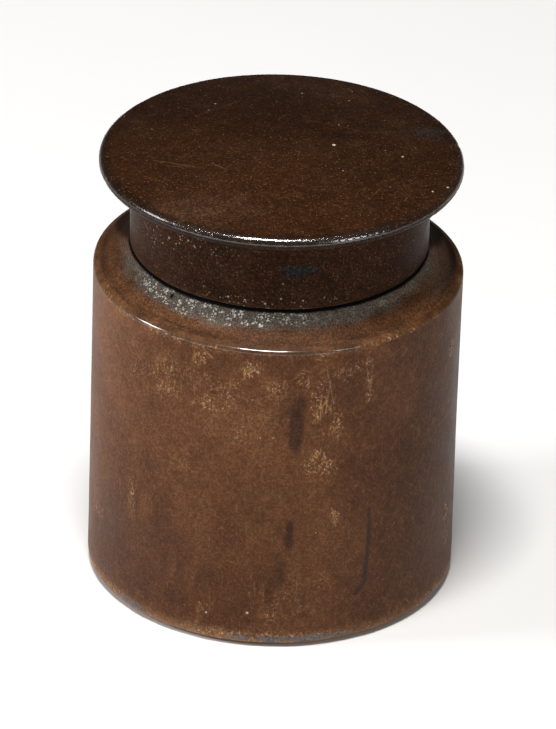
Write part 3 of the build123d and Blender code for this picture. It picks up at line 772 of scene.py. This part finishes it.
light = []
light += run([(-76.9, 54.2), (-75.2, 53.5)], 0.22, 0.8) + run([(-77.6, 53.2), (-76.0, 52.9)], 0.18, 0.6)
light += run([(-74.0, 51.0), (-71.5, 44.5)], 0.16, 0.5) + run([(-72.8, 49.0), (-74.2, 43.0)], 0.14, 0.45)
light += run([(-98.5, 52.6), (-95.0, 50.6)], 0.22, 0.55) + run([(-100.5, 50.9), (-97.8, 51.6)], 0.18, 0.45)
light += run([(-112.4, 53.6), (-109.4, 52.2)], 0.25, 0.55) + run([(-61.2, 51.0), (-59.4, 45.2)], 0.16, 0.45)
light += run([(-71.0, 25.4), (-69.4, 22.0)], 0.24, 0.55)
dark = run([(-58.3, 24.0), (-58.0, 18.9), (-58.4, 14.0), (-58.9, 10.4), (-61.9, 8.6)], 0.75, 0.76)
for _ in range(12):
    d, z0 = rng.uniform(0, 200), rng.uniform(8, 50)
    light += run([(d, z0), (d + rng.uniform(-4, 4), z0 + rng.uniform(-3.5, 3.5))], rng.uniform(0.14, 0.26), rng.uniform(0.35, 0.7))
dark += run([(140.0, 40.0), (139.0, 30.0), (141.0, 24.0)], 0.6, 0.5)
specks = [(at_wall(-96.3, 6.3), 0.42, 0.8), (at_wall(-109.3, 5.3), 0.34, 0.7), (at_wall(-75.8, 21.2), 0.26, 0.6), (at_wall(-90.0, 39.0), 0.24, 0.5),
          (at_wall(-93.9, 38.9), 0.24, 0.5), (at_wall(40.0, 22.0), 0.3, 0.6), (at_wall(160.0, 31.0), 0.3, 0.6)]
wall_mat = japan_can("japan_wall", light, dark, specks)
ob, co = turned("body_wall", "tin", wall_mat, wall_pts, TH_CAN, wall_warp)
paint(ob, "wear", *wall_wear(co))

# ---- shoulder -------------------------------------------------------------------------
sh_pts = outline(
    seg((29.0, 50.0), (29.5, 50.0), 0.25),
    seg((29.5, 50.0), (29.5, CORNER[1]), 0.8),
    arc(CORNER, 1.0, 0, CDEG, 6),
    sweep(CORNER_END[0], 23.45, 0.2),
    sweep(23.45, CORNER_IN[0], 0.8, T),
    arc(CORNER, 0.5, CDEG, 0, 4),
    seg((29.0, CORNER[1]), (29.0, 50.0), 1.0),
)
shoulder_mat = japan_shoulder("japan_shoulder")
ob, co = turned("shoulder_ring", "tin", shoulder_mat, sh_pts, TH_CAN, can_warp)


def shoulder_wear(co):
    deg, r, z = polar(co)
    x, y = co[:, 0], co[:, 1]
    n1, n2 = fbm(x, y, z, 0.14, 41, 3), fbm(x, y, z, 0.6, 42, 3)
    # a chalky grey haze beside the neck, widest and brightest at the front left, where it is partly a painted sheen of
    # the light
    front = 0.5 + 0.5 * np.cos(np.radians(dang(deg, -108)))
    reach = 25.6 + 1.3 * front + 0.7 * n1
    haze_and_painted_light = (1 - smooth(24.5, reach + 1.2, r)) * (0.58 + 0.46 * front**1.5) * smooth(0.12, 0.45, front) + 0.05 * n2 * (r < 27)
    # black in the gap under the skirt's edge: painted shade, with some dirt
    grime_and_shade = 1 - smooth(24.14, 24.40, r + 0.06 * n2)
    streak = fbm(x * 0.35, y * 0.35, z * 0 + 3 * r, 0.9, 43, 2)
    grime_and_shade = np.maximum(grime_and_shade, 0.62 * np.exp(-(((r - 28.4) / 0.85) ** 2)) * np.clip(0.62 + 0.6 * n1 + 0.5 * streak, 0, 1))
    pit = np.hypot(24.9 * np.radians(dang(deg, -132.2)), r - 24.9)
    grime_and_shade = np.maximum(grime_and_shade, 1 - smooth(0.22, 0.42, pit))
    # painted shadow of the lid on the back of the shoulder, either side of the neck
    painted_lid_shadow = smooth(-1.6, 1.6, y + 0.8 - 2.4 * (r - 24.2))
    grime_and_shade = np.maximum(grime_and_shade, 0.80 * painted_lid_shadow * (1 - 0.35 * smooth(28.4, 29.4, r)))
    # the lump at the right, near -22 degrees, is painted light
    thin = np.clip(0.42 + 0.25 * n1 + 0.25 * np.cos(np.radians(dang(deg, -150))) + 0.9 * np.exp(-((dang(deg, -22) / 30.0) ** 2)), 0, 1)
    thin = np.maximum(thin, 0.72 * smooth(28.9, 29.4, r))
    inside = (z < sweep_z(np.clip(r, 20, 30)) - 0.3) | (r < 23.6)
    d3 = np.where(deg > 90, deg - 360, deg)
    haze_and_painted_light = haze_and_painted_light * smooth(-192, -168, d3) * (1 - smooth(-2, 18, d3)) * (1 - painted_lid_shadow) * (1 - 0.35 * (1 - smooth(-166, -142, d3)))
    # more of it on the right side: painted light
    haze_and_painted_light = np.maximum(haze_and_painted_light, 0.46 * np.exp(-(((d3 + 10) / 22.0) ** 2)) * (1 - smooth(28.0, 29.2, r)) * (1 - painted_lid_shadow))
    return np.where(inside, 0.3, thin), np.where(inside, 0.0, grime_and_shade), np.where(inside, 0.4, np.clip(haze_and_painted_light, 0, 1))


paint(ob, "wear", *shoulder_wear(co))
deg = polar(co)[0]


# where the painted glints may show: mostly the front left
def painted_glint_reach(d):
    return np.where(d < 0, 0.15 + 0.85 * smooth(-156, -138, d) * (1 - smooth(-92, -70, d)), 0.15)


paint(ob, "shine", 0.6 * smooth(28.9, 29.3, np.hypot(co[:, 0], co[:, 1])), painted_glint_reach(deg), 0.0)

se_pts = outline(
    seg((29.5, 54.01), (30.0, 54.01), 0.25),
    arc(EDGE, 0.7, 0, 66, 9),
    sweep(EDGE_END[0], CORNER_END[0], 0.2),
    arc(CORNER, 1.0, CDEG, 0, 6),
    seg((29.5, CORNER[1]), (29.5, 54.01), 0.3),
)
edge_mat = japan_can("japan_edge", edge=True)
ob, co = turned("shoulder_seam_solder", "tin", edge_mat, se_pts, TH_CAN, can_warp)
deg, r, z = polar(co)
n1 = fbm(co[:, 0], co[:, 1], z, 0.2, 52, 3)
n2 = fbm(co[:, 0], co[:, 1], z, 0.35, 53, 3)
fr = 0.5 + 0.5 * np.cos(np.radians(dang(deg, -115)))
paint(ob, "wear", np.clip(0.16 + 0.30 * n1 + 0.20 * smooth(29.5, 29.9, r), 0, 1), np.clip(0.25 - 0.2 * n1 + 0.35 * (1 - smooth(28.7, 29.2, r)), 0, 1), np.clip(0.12 * n2 * fr, 0, 0.15))
lit = 0.10 + 0.90 * smooth(-152, -138, deg) * (1 - smooth(-76, -60, deg))
paint(ob, "shine", np.clip(0.10 + 0.90 * smooth(28.95, 29.3, r) + 0.10 * n2, 0, 1) * lit, 0.0, 0.0)

# ---- neck -----------------------------------------------------------------------------
tin_mat = bare_tin("tinned_neck")
NR, NT, CR = 23.45, 69.0, 0.95
cc = (NR - CR, NT - CR)
fl_a = math.asin((SWEEP[0] - 26.3) / (SWR + T))
fl_low = (SWEEP[0] - (SWR + 2 * T) * math.sin(fl_a), SWEEP[1] - (SWR + 2 * T) * math.cos(fl_a))
neck_pts = outline(
    [fl_low],
    sweep(26.3, NR, 0.5, T),
    seg((NR, float(sweep_z(NR, T))), (NR, cc[1]), 0.45),
    arc(cc, CR, 0, 270, 26),
    seg((cc[0], cc[1] - CR), (cc[0], cc[1] - CR + T), 0.3),
    arc(cc, CR - T, 270, 0, 16),
    seg((NR - T, cc[1]), (NR - T, float(sweep_z(NR - T, 2 * T))), 0.8),
    sweep(NR - T, fl_low[0], 0.5, 2 * T),
)


def neck_warp(th, r, z):
    x, y = r * np.cos(th), r * np.sin(th)
    free = smooth(59.5, 62.0, z)
    oval = 0.05 * np.cos(2 * th + 0.7) - 0.05
    dr = (oval + 0.05 * fbm(x, y, z * 0.4, 0.12, 61, 2) - 0.04) * free
    dz = -0.05 * np.clip(fbm(x, y, z * 0.0, 0.18, 62, 2), 0, 1) * smooth(66.5, 68.4, z)
    return r + dr, z + dz


ob, co = turned("neck_collar", "tin", tin_mat, neck_pts, around(360), neck_warp)
deg, r, z = polar(co)
n1 = fbm(co[:, 0], co[:, 1], z, 0.15, 63, 3)
stain = np.where(r < 22.99, 0.62 + 0.3 * n1, 0.30 + 0.35 * n1 + 0.5 * (1 - smooth(59.3, 61.0, z)) - 0.25 * smooth(67.4, 68.6, z))
# green: dark at the neck's foot, dirt and painted shade in the crevice
paint(ob, "wear", np.clip(stain, 0, 1), 1 - smooth(59.2, 60.6, z + 0.3 * n1), 0.0)

# ---- solder round the foot of the neck -------------------------------------------------
sol = solder_mat("wiped_solder")
NS_TOP = [(rr, float(sweep_z(rr)) + tt) for rr, tt in ((NR, 0.12), (NR + 0.25, 0.22), (24.2, 0.34), (25.2, 0.26), (26.2, 0.0))]
ns_pts = outline(
    sweep(26.2, NR, 0.15),
    [NS_TOP[0]],
    seg(NS_TOP[0], NS_TOP[1], 0.12),
    seg(NS_TOP[1], NS_TOP[2], 0.12),
    seg(NS_TOP[2], NS_TOP[3], 0.12),
    seg(NS_TOP[3], NS_TOP[4], 0.10),
)[::-1]


def solder_warp(th, r, z):
    x, y = r * np.cos(th), r * np.sin(th)
    over = z - sweep_z(r)
    top = smooth(0.02, 0.10, over) * smooth(23.5, 23.9, r)
    lump = 0.5 * fbm(x, y, z, 0.55, 71, 2) + 0.5 * fbm(x, y, z, 1.7, 72, 3, 0.7)
    reach = 0.5 * fbm(x, y, z * 0, 0.20, 73, 2) - 0.15
    r2 = r + np.where(r > 24.4, reach * (r - 24.4) * 0.9, 0.0)
    z2 = sweep_z(r2) + over + top * (0.07 * lump - 0.03) - 0.006
    return r2, z2


ob, co = turned("neck_seam_solder", "tin", shoulder_mat, ns_pts, around(720), solder_warp, 60)
paint(ob, "wear", *shoulder_wear(co + np.array([0, 0, 0.5])))
deg = polar(co)[0]
paint(ob, "shine", 0.0, painted_glint_reach(deg), 0.0)
sol = solder_mat("wiped_solder")

# ---- base -----------------------------------------------------------------------------
f2 = 28.1
base_pts = outline(
    [(0.0, 1.5)],
    seg((0.6, 1.5), (20.9, 1.5), 1.6),
    [(21.3, 1.46), (21.6, 1.36), (21.9, 1.12), (22.2, 0.86), (22.5, 0.64), (22.8, 0.53), (23.2, 0.5)],
    seg((23.2, 0.5), (f2, 0.5), 0.8),
    arc((f2, 1.9), 1.4, -90, 0, 8),
    seg((29.5, 1.9), (29.5, 7.0), 1.2),
    seg((29.5, 7.0), (29.0, 7.0), 0.25),
    seg((29.0, 7.0), (29.0, 1.9), 1.2),
    arc((f2, 1.9), 0.9, 0, -90, 6),
    seg((f2, 1.0), (23.3, 1.0), 0.9),
    [(22.9, 1.04), (22.4, 1.36), (22.0, 1.74), (21.6, 1.94), (21.2, 2.0)],
    seg((21.0, 2.0), (0.6, 2.0), 1.8),
    [(0.0, 2.0)],
)


def base_warp(th, r, z):
    x, y = r * np.cos(th), r * np.sin(th)
    mid_ = 1 - smooth(18.0, 21.0, r)
    ring = 0.05 * np.cos(r * 2 * math.pi / 5.2) * (1 - smooth(19.5, 20.8, r)) * smooth(2.0, 4.0, r)
    dz = (0.10 * fbm(x, y, z * 0, 0.07, 81, 2) - 0.02 + ring) * mid_
    return r, z + np.clip(dz, -0.15, 0.15)


base_mat = japan_can("japan_base")
ob, co = turned("base_plate", "tin", base_mat, base_pts, around(300), base_warp)
deg, r, z = polar(co)
x, y = co[:, 0], co[:, 1]
n1, n2 = fbm(x, y, z * 0, 0.09, 82, 3), fbm(x, y, z * 0, 0.5, 83, 4)
bare = 0.30 + 0.35 * n1 + 0.15 * n2 + 0.30 * np.exp(-(((r - 21.6) / 0.8) ** 2)) - 0.25 * np.exp(-(((r - 23.4) / 0.7) ** 2))
paint(ob, "wear", np.clip(0.35 + 0.4 * n2, 0, 1), np.clip(0.7 * np.exp(-(((r - 23.6) / 1.0) ** 2)) + 0.25 * np.clip(-n1, 0, 1), 0, 1), np.clip(bare, 0, 1))

# ---- polish ---------------------------------------------------------------------------
wax_r = 28.95
sph = (wax_r**2 + 2.4**2) / (2 * 2.4)


def wax_top(r):
    return 36.2 - 2.4 + sph - math.sqrt(sph * sph - r * r)


wax_pts = outline(
    [(0.0, 2.05)],
    seg((0.6, 2.05), (21.0, 2.05), 2.0),
    [(21.7, 2.05), (22.9, 1.2), (23.2, 1.06)],
    seg((23.4, 1.05), (f2, 1.05), 1.2),
    arc((f2, 1.9), 0.85, -90, 0, 5),
    seg((wax_r, 1.9), (wax_r, 35.75), 2.2),
    [(wax_r - 0.03, 35.95), (wax_r - 0.14, 36.07), (wax_r - 0.35, wax_top(wax_r - 0.35))],
    [(rr, wax_top(rr)) for rr in np.arange(28.3, 0.4, -0.32)],
    [(0.0, wax_top(0.0))],
)


def wax_warp(th, r, z):
    x, y = r * np.cos(th), r * np.sin(th)
    top = smooth(33.0, 33.6, z) * (z > 33.2)
    inner = smooth(1.0, 5.0, r) * (1 - smooth(25.5, 28.0, r))
    swirl = np.sin(r * 2 * math.pi / 2.3 + 1.8 * np.sin(th + 0.6) + 0.8 * fbm(x, y, z * 0, 0.10, 91, 2))
    dz = 0.07 * swirl * inner * (0.6 + 0.4 * fbm(x, y, z * 0, 0.08, 92, 2))
    dz = dz - 0.35 * np.clip(fbm(x, y, z * 0, 0.06, 93, 2), 0, 1) * (1 - smooth(22.0, 27.0, r))
    # it has shrunk a little from the wall in places
    gap = np.clip(fbm(x, y, z * 0, 0.07, 94, 2), 0, 1)
    dr = -0.45 * gap * smooth(28.2, 28.9, r) * smooth(30.0, 35.0, z)
    crack = np.exp(-((np.abs(fbm(x, y, z * 0, 0.075, 95, 3)) / 0.020) ** 2)) * smooth(19.0, 23.0, r)
    dz = dz - 0.30 * crack
    return r + dr, z + np.minimum(dz, 0.02) * top


ob, co = turned("wax_polish", "tin", wax_mat("wax"), wax_pts, around(600), wax_warp, 50)
deg, r, z = polar(co)
x, y = co[:, 0], co[:, 1]
crk = np.exp(-((np.abs(fbm(x, y, z * 0, 0.075, 95, 3)) / 0.020) ** 2)) * smooth(19.0, 23.0, r)
n1 = fbm(x, y, z * 0, 0.11, 96, 3)
paint(ob, "wear", np.clip((1 - smooth(13.0, 24.0, r)) * (0.8 + 0.4 * n1), 0, 1), np.clip(0.35 + 0.5 * n1 + 0.4 * smooth(22, 27, r), 0, 1), np.clip(crk, 0, 1))

# =====================================================================================
# the wad
# =====================================================================================
ck = [
    [(0.0, 69.05)],
    seg((0.6, 69.05), (21.2, 69.05), 0.7),
    seg((21.3, 69.05), (22.9, 69.05), 0.12),
    arc((22.9, 69.45), 0.4, -90, 0, 5),
    seg((23.3, 69.5), (23.3, 73.7), 0.35),
    arc((22.9, 73.7), 0.4, 0, 90, 5),
    seg((22.8, 74.1), (0.6, 74.1), 0.9),
    [(0.0, 74.1)],
]


def cork_warp(th, r, z):
    x, y = r * np.cos(th), r * np.sin(th)
    # bruised edges and pores; it keeps within its own disc
    rough_ = np.clip(0.5 * fbm(x, y, z, 0.35, 101, 3, 0.6), -0.4, 1)
    dr = -0.09 * np.clip(rough_ + 0.3, 0, 1) * smooth(21.0, 23.0, r)
    pit = smooth(0.62, 0.85, fbm(x, y, z * 1.6, 0.5, 102, 2))
    dr = dr - 0.35 * pit * smooth(23.0, 23.25, r)
    low_ = z < 69.3
    # the ring that the neck's rim has pressed into it, and pores
    press = np.exp(-(((r - 22.5) / 0.55) ** 2))
    dz = np.where(low_, 0.16 * press + 0.22 * pit * (r < 22.0) + 0.05 * np.clip(rough_, 0, 1), 0.0)
    dz = np.where((z > 74.0), -0.18 * pit - 0.05 * np.clip(rough_, 0, 1), dz)
    return r + dr, z + dz


ob, co = turned("cork_wad", "wad", cork_mat("cork"), outline(*ck), around(420), cork_warp, 55)
deg, r, z = polar(co)
x, y = co[:, 0], co[:, 1]
n1 = fbm(x, y, z * 0, 0.10, 103, 3)
low_ = (z < 69.6).astype(float)
paint(ob, "wear", np.clip(low_ * (0.38 + 0.55 * n1 + 0.35 * (1 - smooth(4.0, 16.0, r))), 0, 1), np.clip(np.exp(-(((r - 22.5) / 0.6) ** 2)) * low_, 0, 1), 0.0)

# =====================================================================================
# the lid
# =====================================================================================
SR, SZ, CZ, CO = 24.15, 59.05, 69.5, 3.0
cove = (SR + CO, CZ)
skirt_pts = outline(
    arc((SR - 0.2, SZ + 0.2), 0.2, -90, 0, 4),
    seg((SR, SZ + 0.2), (SR, CZ), 0.3),
    arc(cove, CO, 180, 90, 22),
    seg((cove[0], CZ + CO), (28.25, CZ + CO), 0.3),
    seg((28.25, CZ + CO), (28.25, CZ + CO + T), 0.25),
    seg((28.25, CZ + CO + T), (cove[0], CZ + CO + T), 0.3),
    arc(cove, CO + T, 90, 180, 10),
    seg((SR - T, CZ), (SR - T, SZ + 0.15), 0.8),
    arc((SR - T + 0.15, SZ + 0.15), 0.15, 180, 270, 3),
)


def skirt_warp(th, r, z):
    x, y = r * np.cos(th), r * np.sin(th)
    free = 1 - smooth(70.5, 72.6, z)
    w = fbm(x, y, z * 0.5, 0.06, 111, 2)
    dr = (0.05 * w - 0.02 + 0.012 * fbm(x, y, z, 0.3, 112, 2)) * free
    # the skirt's own seam, dressed down, at the back
    s = SR * np.radians(dang(np.degrees(th), 96.0))
    dr = dr - 0.06 * (smooth(-0.25, 0.0, s) - smooth(0.0, 3.5, s)) * free * (r > SR - 0.2)
    dz = 0.05 * fbm(x, y, z * 0, 0.05, 113, 2) * (1 - smooth(60.0, 64.0, z))
    return r + dr, z + np.maximum(dz, -0.04)


def at_skirt(deg, z, r=SR):
    return (r * math.cos(math.radians(deg)), r * math.sin(math.radians(deg)), z)


sk_specks = [(at_skirt(-136.2, 67.3), 0.34, 0.45), (at_skirt(-126.5, 68.4), 0.30, 0.5), (at_skirt(-123.7, 67.8), 0.24, 0.45), (at_skirt(-108.8, 60.4), 0.36, 0.5),
             (at_skirt(-102.2, 60.3), 0.34, 0.5), (at_skirt(-94.5, 60.0), 0.36, 0.55), (at_skirt(-88.6, 61.0), 0.30, 0.5), (at_skirt(-88.0, 63.7), 0.26, 0.35),
             (at_skirt(-80.3, 60.6), 0.30, 0.5), (at_skirt(-119.0, 61.2), 0.22, 0.4), (at_skirt(-72.0, 60.9), 0.22, 0.4), (at_skirt(60.0, 63.0), 0.3, 0.4)]
sk_strokes = [(at_skirt(-153.2, 66.9), at_skirt(-149.8, 66.2), 0.32, 0.8), (at_skirt(-99.6, 69.2), at_skirt(-96.8, 69.1), 0.36, 0.55),
              (at_skirt(-118.0, 65.5), at_skirt(-116.5, 63.9), 0.14, 0.4), (at_skirt(-62.0, 66.5), at_skirt(-60.5, 64.2), 0.14, 0.35),
              (at_skirt(30.0, 66.0), at_skirt(34.0, 64.0), 0.18, 0.45), (at_skirt(130.0, 62.0), at_skirt(136.0, 63.2), 0.18, 0.45)]
skirt_mat = japan_lid("japan_skirt", sk_strokes, sk_specks, gold=0.08, pale=0.21, sheen=0.015)
skirt_mat.name = "japan_skirt"
ob, co = turned("lid_skirt", "lid", skirt_mat, skirt_pts, around(400), skirt_warp)
deg, r, z = polar(co)
x, y = co[:, 0], co[:, 1]
n1, n2 = fbm(x, y, z, 0.12, 114, 3), fbm(x, y, z, 0.5, 115, 3)
inner = (r < SR - 0.3) & (z < 70.0)
s = SR * np.radians(dang(deg, -81.0))
taper = np.clip(1.15 - (s + 3.6) / 7.6 * 0.75, 0.2, 1.2)
smear = 0.95 * blot(s, (z - 66.0) / taper, 4.1, 1.45, 0.40 * n2, 0.45)
# painted light: the skirt lighter on its left side; less of the tan up under the rim, leaving painted shade there; tan
# along the bottom
left = 0.5 + 0.5 * np.cos(np.radians(dang(deg, -165)))
haze_light_mix = np.clip(0.00 + 0.12 * left**2 + 0.20 * n1 + 0.25 * (1 - smooth(59.1, 60.4, z)), 0, 1) * (1 - 0.7 * smooth(69.0, 71.0, z))
bare = np.where(inner, np.clip(0.75 + 0.4 * n1, 0, 1), np.clip(0.75 * (1 - smooth(59.08, 59.28, z)) * (0.6 + 0.6 * n2), 0, 1))
paint(ob, "wear", np.where(inner, 0.3, haze_light_mix), np.where(inner, 0, smear), bare)
dusty = np.exp(-((dang(deg, -138) / 22.0) ** 2)) * smooth(63.0, 66.0, z) + 0.8 * (1 - smooth(60.2, 61.4, z)) * np.exp(-((dang(deg, -92) / 30.0) ** 2))
paint(ob, "shine", 0.01 + 0.12 * smooth(70.5, 72.0, z), np.clip(0.14 + dusty, 0, 1), 0.0)

# ---- lid top --------------------------------------------------------------------------
LR, RZ, RU, RL, LT, HEM = 29.3, 73.0, 1.2, 1.0, 76.2, 27.4
rim_c, low_c = (LR - RU, RZ), (LR - RL, RZ)
h = LT - RZ
DR = (rim_c[0] ** 2 + h * h - RU * RU) / (2 * (h - RU))
dome_c = (0.0, LT - DR)
beta = 90 - math.degrees(math.asin(rim_c[0] / (DR - RU)))


def dome_run(radius, a0, a1, n):
    return arc(dome_c, radius, a0, a1, n)


lid_pts = outline(
    [(HEM, RZ - RL + 0.08), (HEM + 0.08, RZ - RL)],
    seg((HEM + 0.08, RZ - RL), (low_c[0], RZ - RL), 0.2),
    arc(low_c, RL, -90, 0, 12),
    arc(rim_c, RU, 0, beta, 22),
    dome_run(DR, beta, 89.86, 74),
    [(0.0, LT), (0.0, LT - T)],
    dome_run(DR - T, 89.7, beta, 26),
    arc(rim_c, RU - T, beta, 0, 8),
    arc(low_c, RL - T, 0, -90, 4),
    seg((low_c[0], RZ - RL + T), (HEM, RZ - RL + T), 0.5),
)
TICKS = [-71.4 + 2.55 * k for k in range(7)]
TH_LID = around(450, extra=((-74.0, -53.5, 0.13),))


def lid_warp(th, r, z):
    x, y = r * np.cos(th), r * np.sin(th)
    on_top = smooth(73.6, 74.6, z)
    inside = 1 - smooth(22.0, 28.0, r)
    n = fbm(x, y, z * 0, 0.05, 121, 2)
    dz = -(0.10 * np.clip(0.5 + 0.5 * n, 0, 1) + 0.03 * np.clip(0.5 + 0.5 * fbm(x, y, z * 0, 0.16, 122, 2), 0, 1)) * on_top * smooth(2.0, 8.0, r)
    for cx_, cy_, wd, amp in ((-6.0, 12.0, 6.0, 0.10), (13.0, -14.0, 4.0, 0.07), (-17.0, -3.0, 5.0, 0.06), (16.0, 12.0, 3.5, 0.08)):
        dz = dz - amp * np.exp(-((x - cx_) ** 2 + (y - cy_) ** 2) / wd**2) * on_top
    # the rim: slightly out of true, nicked here and there
    rimish = smooth(28.2, 29.0, r)
    dr = -(0.05 * np.clip(0.5 + 0.5 * fbm(x, y, z * 0, 0.05, 123, 2), 0, 1) + 0.03 * np.clip(fbm(x, y, z * 0, 0.35, 124, 2), 0, 1)) * rimish
    deg_ = np.degrees(th)
    for t in TICKS:
        s = LR * np.radians(dang(deg_, t))
        dr = dr - 0.16 * np.exp(-((s / 0.17) ** 2)) * smooth(28.5, 29.1, r) * (1 - smooth(73.0, 73.9, z))
    for t, amp, w in ((-118.0, 0.10, 0.5), (-33.0, 0.09, 0.4), (12.0, 0.12, 0.6), (77.0, 0.10, 0.4), (141.0, 0.12, 0.5), (-163.0, 0.09, 0.4)):
        s = LR * np.radians(dang(deg_, t))
        dr = dr - amp * np.exp(-((s / w) ** 2)) * smooth(28.5, 29.1, r)
    return r + dr, z + dz


def on_dome(x, y):
    return (x, y, dome_c[1] + math.sqrt(DR * DR - x * x - y * y) - 0.08)


ld_specks = [(on_dome(8.3, 0.4), 0.50, 0.85), (on_dome(19.3, -1.5), 0.36, 0.6), (on_dome(9.8, -8.0), 0.26, 0.4), (on_dome(24.1, -11.5), 0.32, 0.6),
             (on_dome(26.5, -9.6), 0.38, 0.6), (on_dome(-11.0, 15.0), 0.3, 0.4), (on_dome(3.0, 20.0), 0.28, 0.4)]
ld_strokes = [(on_dome(-20.3, -5.2), on_dome(-14.0, -7.7), 0.26, 0.42), (on_dome(-10.9, -6.9), on_dome(-8.6, -8.9), 0.26, 0.5),
              (on_dome(-18.8, -6.9), on_dome(-13.0, -8.1), 0.16, 0.30), (on_dome(14.0, -16.0), on_dome(16.0, -12.0), 0.18, 0.35),
              (on_dome(11.8, -15.8), on_dome(12.6, -13.0), 0.16, 0.30), (on_dome(4.0, 9.0), on_dome(13.0, 6.0), 0.14, 0.26),
              (on_dome(-4.0, -14.0), on_dome(-1.0, -20.0), 0.14, 0.24), (on_dome(-14.0, 10.0), on_dome(-6.0, 17.0), 0.14, 0.28),
              (on_dome(18.0, -10.0), on_dome(22.0, -16.5), 0.14, 0.26)]
top_mat = japan_lid("japan_top", ld_strokes, ld_specks, top=True)
ob, co = turned("lid_top", "lid", top_mat, lid_pts, TH_LID, lid_warp)
deg, r, z = polar(co)
x, y = co[:, 0], co[:, 1]
n1, n2 = fbm(x, y, z, 0.09, 125, 3), fbm(x, y, z, 0.5, 126, 3)
outer = z > 71.0
# painted sheen: a lighter patch inside the rim at the front left, with random tone over the top
haze_light_mix = 0.55 * np.exp(-(((x + 14.0) / 9.0) ** 2) - ((y + 21.0) / 4.5) ** 2) + 0.16 * np.clip(n1, 0, 1)
sm = 0.45 * blot(x - 23.5, y - 8.0, 4.5, 3.0, 0.4 * n2, 0.7)
under_ = (z < dome_c[1] + np.sqrt(np.maximum(DR * DR - r * r, 0)) - 0.36) & (r < 28.0) & (z > 72.7)
bare = np.clip(0.50 * (1 - smooth(72.03, 72.15, z)) * smooth(28.2, 28.5, r) * (0.75 + 0.5 * n2), 0, 1)
bare = np.maximum(bare, 0.30 * smooth(73.5, 73.8, z) * smooth(28.75, 29.0, r) * smooth(-0.2, 0.4, np.sin(np.radians(deg))) * (0.8 + 0.5 * n2))
bare = np.where(under_, np.clip(0.75 + 0.4 * n1, 0, 1), bare)
paint(ob, "wear", np.clip(haze_light_mix, 0, 1), np.clip(sm, 0, 1), bare)
d3 = np.where(deg > 90, deg - 360, deg)
soft = (0.26 + 0.74 * smooth(-129, -117, d3)) * (1 - 0.55 * smooth(-66, -44, d3))
# painted shade: a darker margin inside the rim, strongest at the front
margin = smooth(27.4, 28.4, r) * smooth(72.3, 72.8, z) * (0.30 + 0.70 * smooth(-200, -170, d3) * (1 - smooth(-60, -30, d3)))
paint(ob, "shine", 0.03 + 0.94 * smooth(28.05, 28.5, r) * smooth(73.00, 73.25, z) * soft, np.clip(0.25 + n1, 0, 1), margin)

# ---- solder in the corner under the rim --------------------------------------------------
cove_at = math.degrees(math.acos((26.5 - cove[0]) / CO))
ls0 = (cove[0] + CO * math.cos(math.radians(cove_at)), cove[1] + CO * math.sin(math.radians(cove_at)))
ls_pts = outline(
    arc(cove, CO, cove_at, 90, 5)[::-1],
    [ls0],
    seg(ls0, (HEM, CZ + CO - 0.42), 0.12),
    seg((HEM, CZ + CO - 0.42), (HEM, CZ + CO), 0.15),
)


def lid_solder_warp(th, r, z):
    x, y = r * np.cos(th), r * np.sin(th)
    low = smooth(0.02, 0.2, (CZ + CO) - z)
    return r, z + low * 0.04 * fbm(x, y, z, 0.8, 131, 3, 0.6)


ob, co = turned("lid_seam_solder", "lid", japan_lid("japan_fillet"), ls_pts, around(540), lid_solder_warp, 60)
paint(ob, "wear", 0.25, 0.0, 0.15)
paint(ob, "shine", 0.1, 0.0, 0.0)

# ---- CAD pieces that stay as they are ------------------------------------------------------
wire = wire_mat("drawn_wire")
for name, m in (("neck_rim_wire", wire), ("base_seam_solder", sol)):
    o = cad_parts[name]
    o.data.materials.clear()
    o.data.materials.append(m)
    o.data.polygons.foreach_set("use_smooth", [True] * len(o.data.polygons))

# =====================================================================================
# floor and light
# =====================================================================================
me = bpy.data.meshes.new("floor")
s = 3.0
me.from_pydata([(-s, -s, 0), (s, -s, 0), (s, s, 0), (-s, s, 0)], [], [(0, 1, 2, 3)])
me.materials.append(floor_mat("floor_paper"))
floor = bpy.data.objects.new("floor", me)
bpy.context.scene.collection.objects.link(floor)


def softbox(name, at, target, w, h_, watts, color):
    li = bpy.data.lights.new(name, "AREA")
    li.shape = "RECTANGLE"
    li.size, li.size_y = w, h_
    li.energy = watts
    li.color = color
    o = bpy.data.objects.new(name, li)
    bpy.context.scene.collection.objects.link(o)
    o.location = at
    o.rotation_mode = "QUATERNION"
    o.rotation_quaternion = (Vector(target) - Vector(at)).to_track_quat("-Z", "Y")
    return o


softbox("key_top", (-0.06, -0.20, 1.02), (0, 0, 0.05), 0.26, 0.15, 10.5, (1.0, 0.985, 0.96))
softbox("fill_right", (0.62, -0.62, 0.42), (0, 0, 0.05), 0.30, 0.30, 1.55, (1.0, 0.97, 0.94))
softbox("fill_left", (-0.88, -0.10, 0.48), (0, 0, 0.04), 0.26, 0.30, 5.0, (0.97, 0.97, 1.0))

world = bpy.data.worlds.new("studio")
world.use_nodes = True
bpy.context.scene.world = world
bg = world.node_tree.nodes.get("Background")
bg.inputs["Color"].default_value = (0.95, 0.97, 1.0, 1.0)
bg.inputs["Strength"].default_value = 0.07
bpy.context.scene.view_settings.view_transform = "Standard"
bpy.context.scene.view_settings.look = "None"
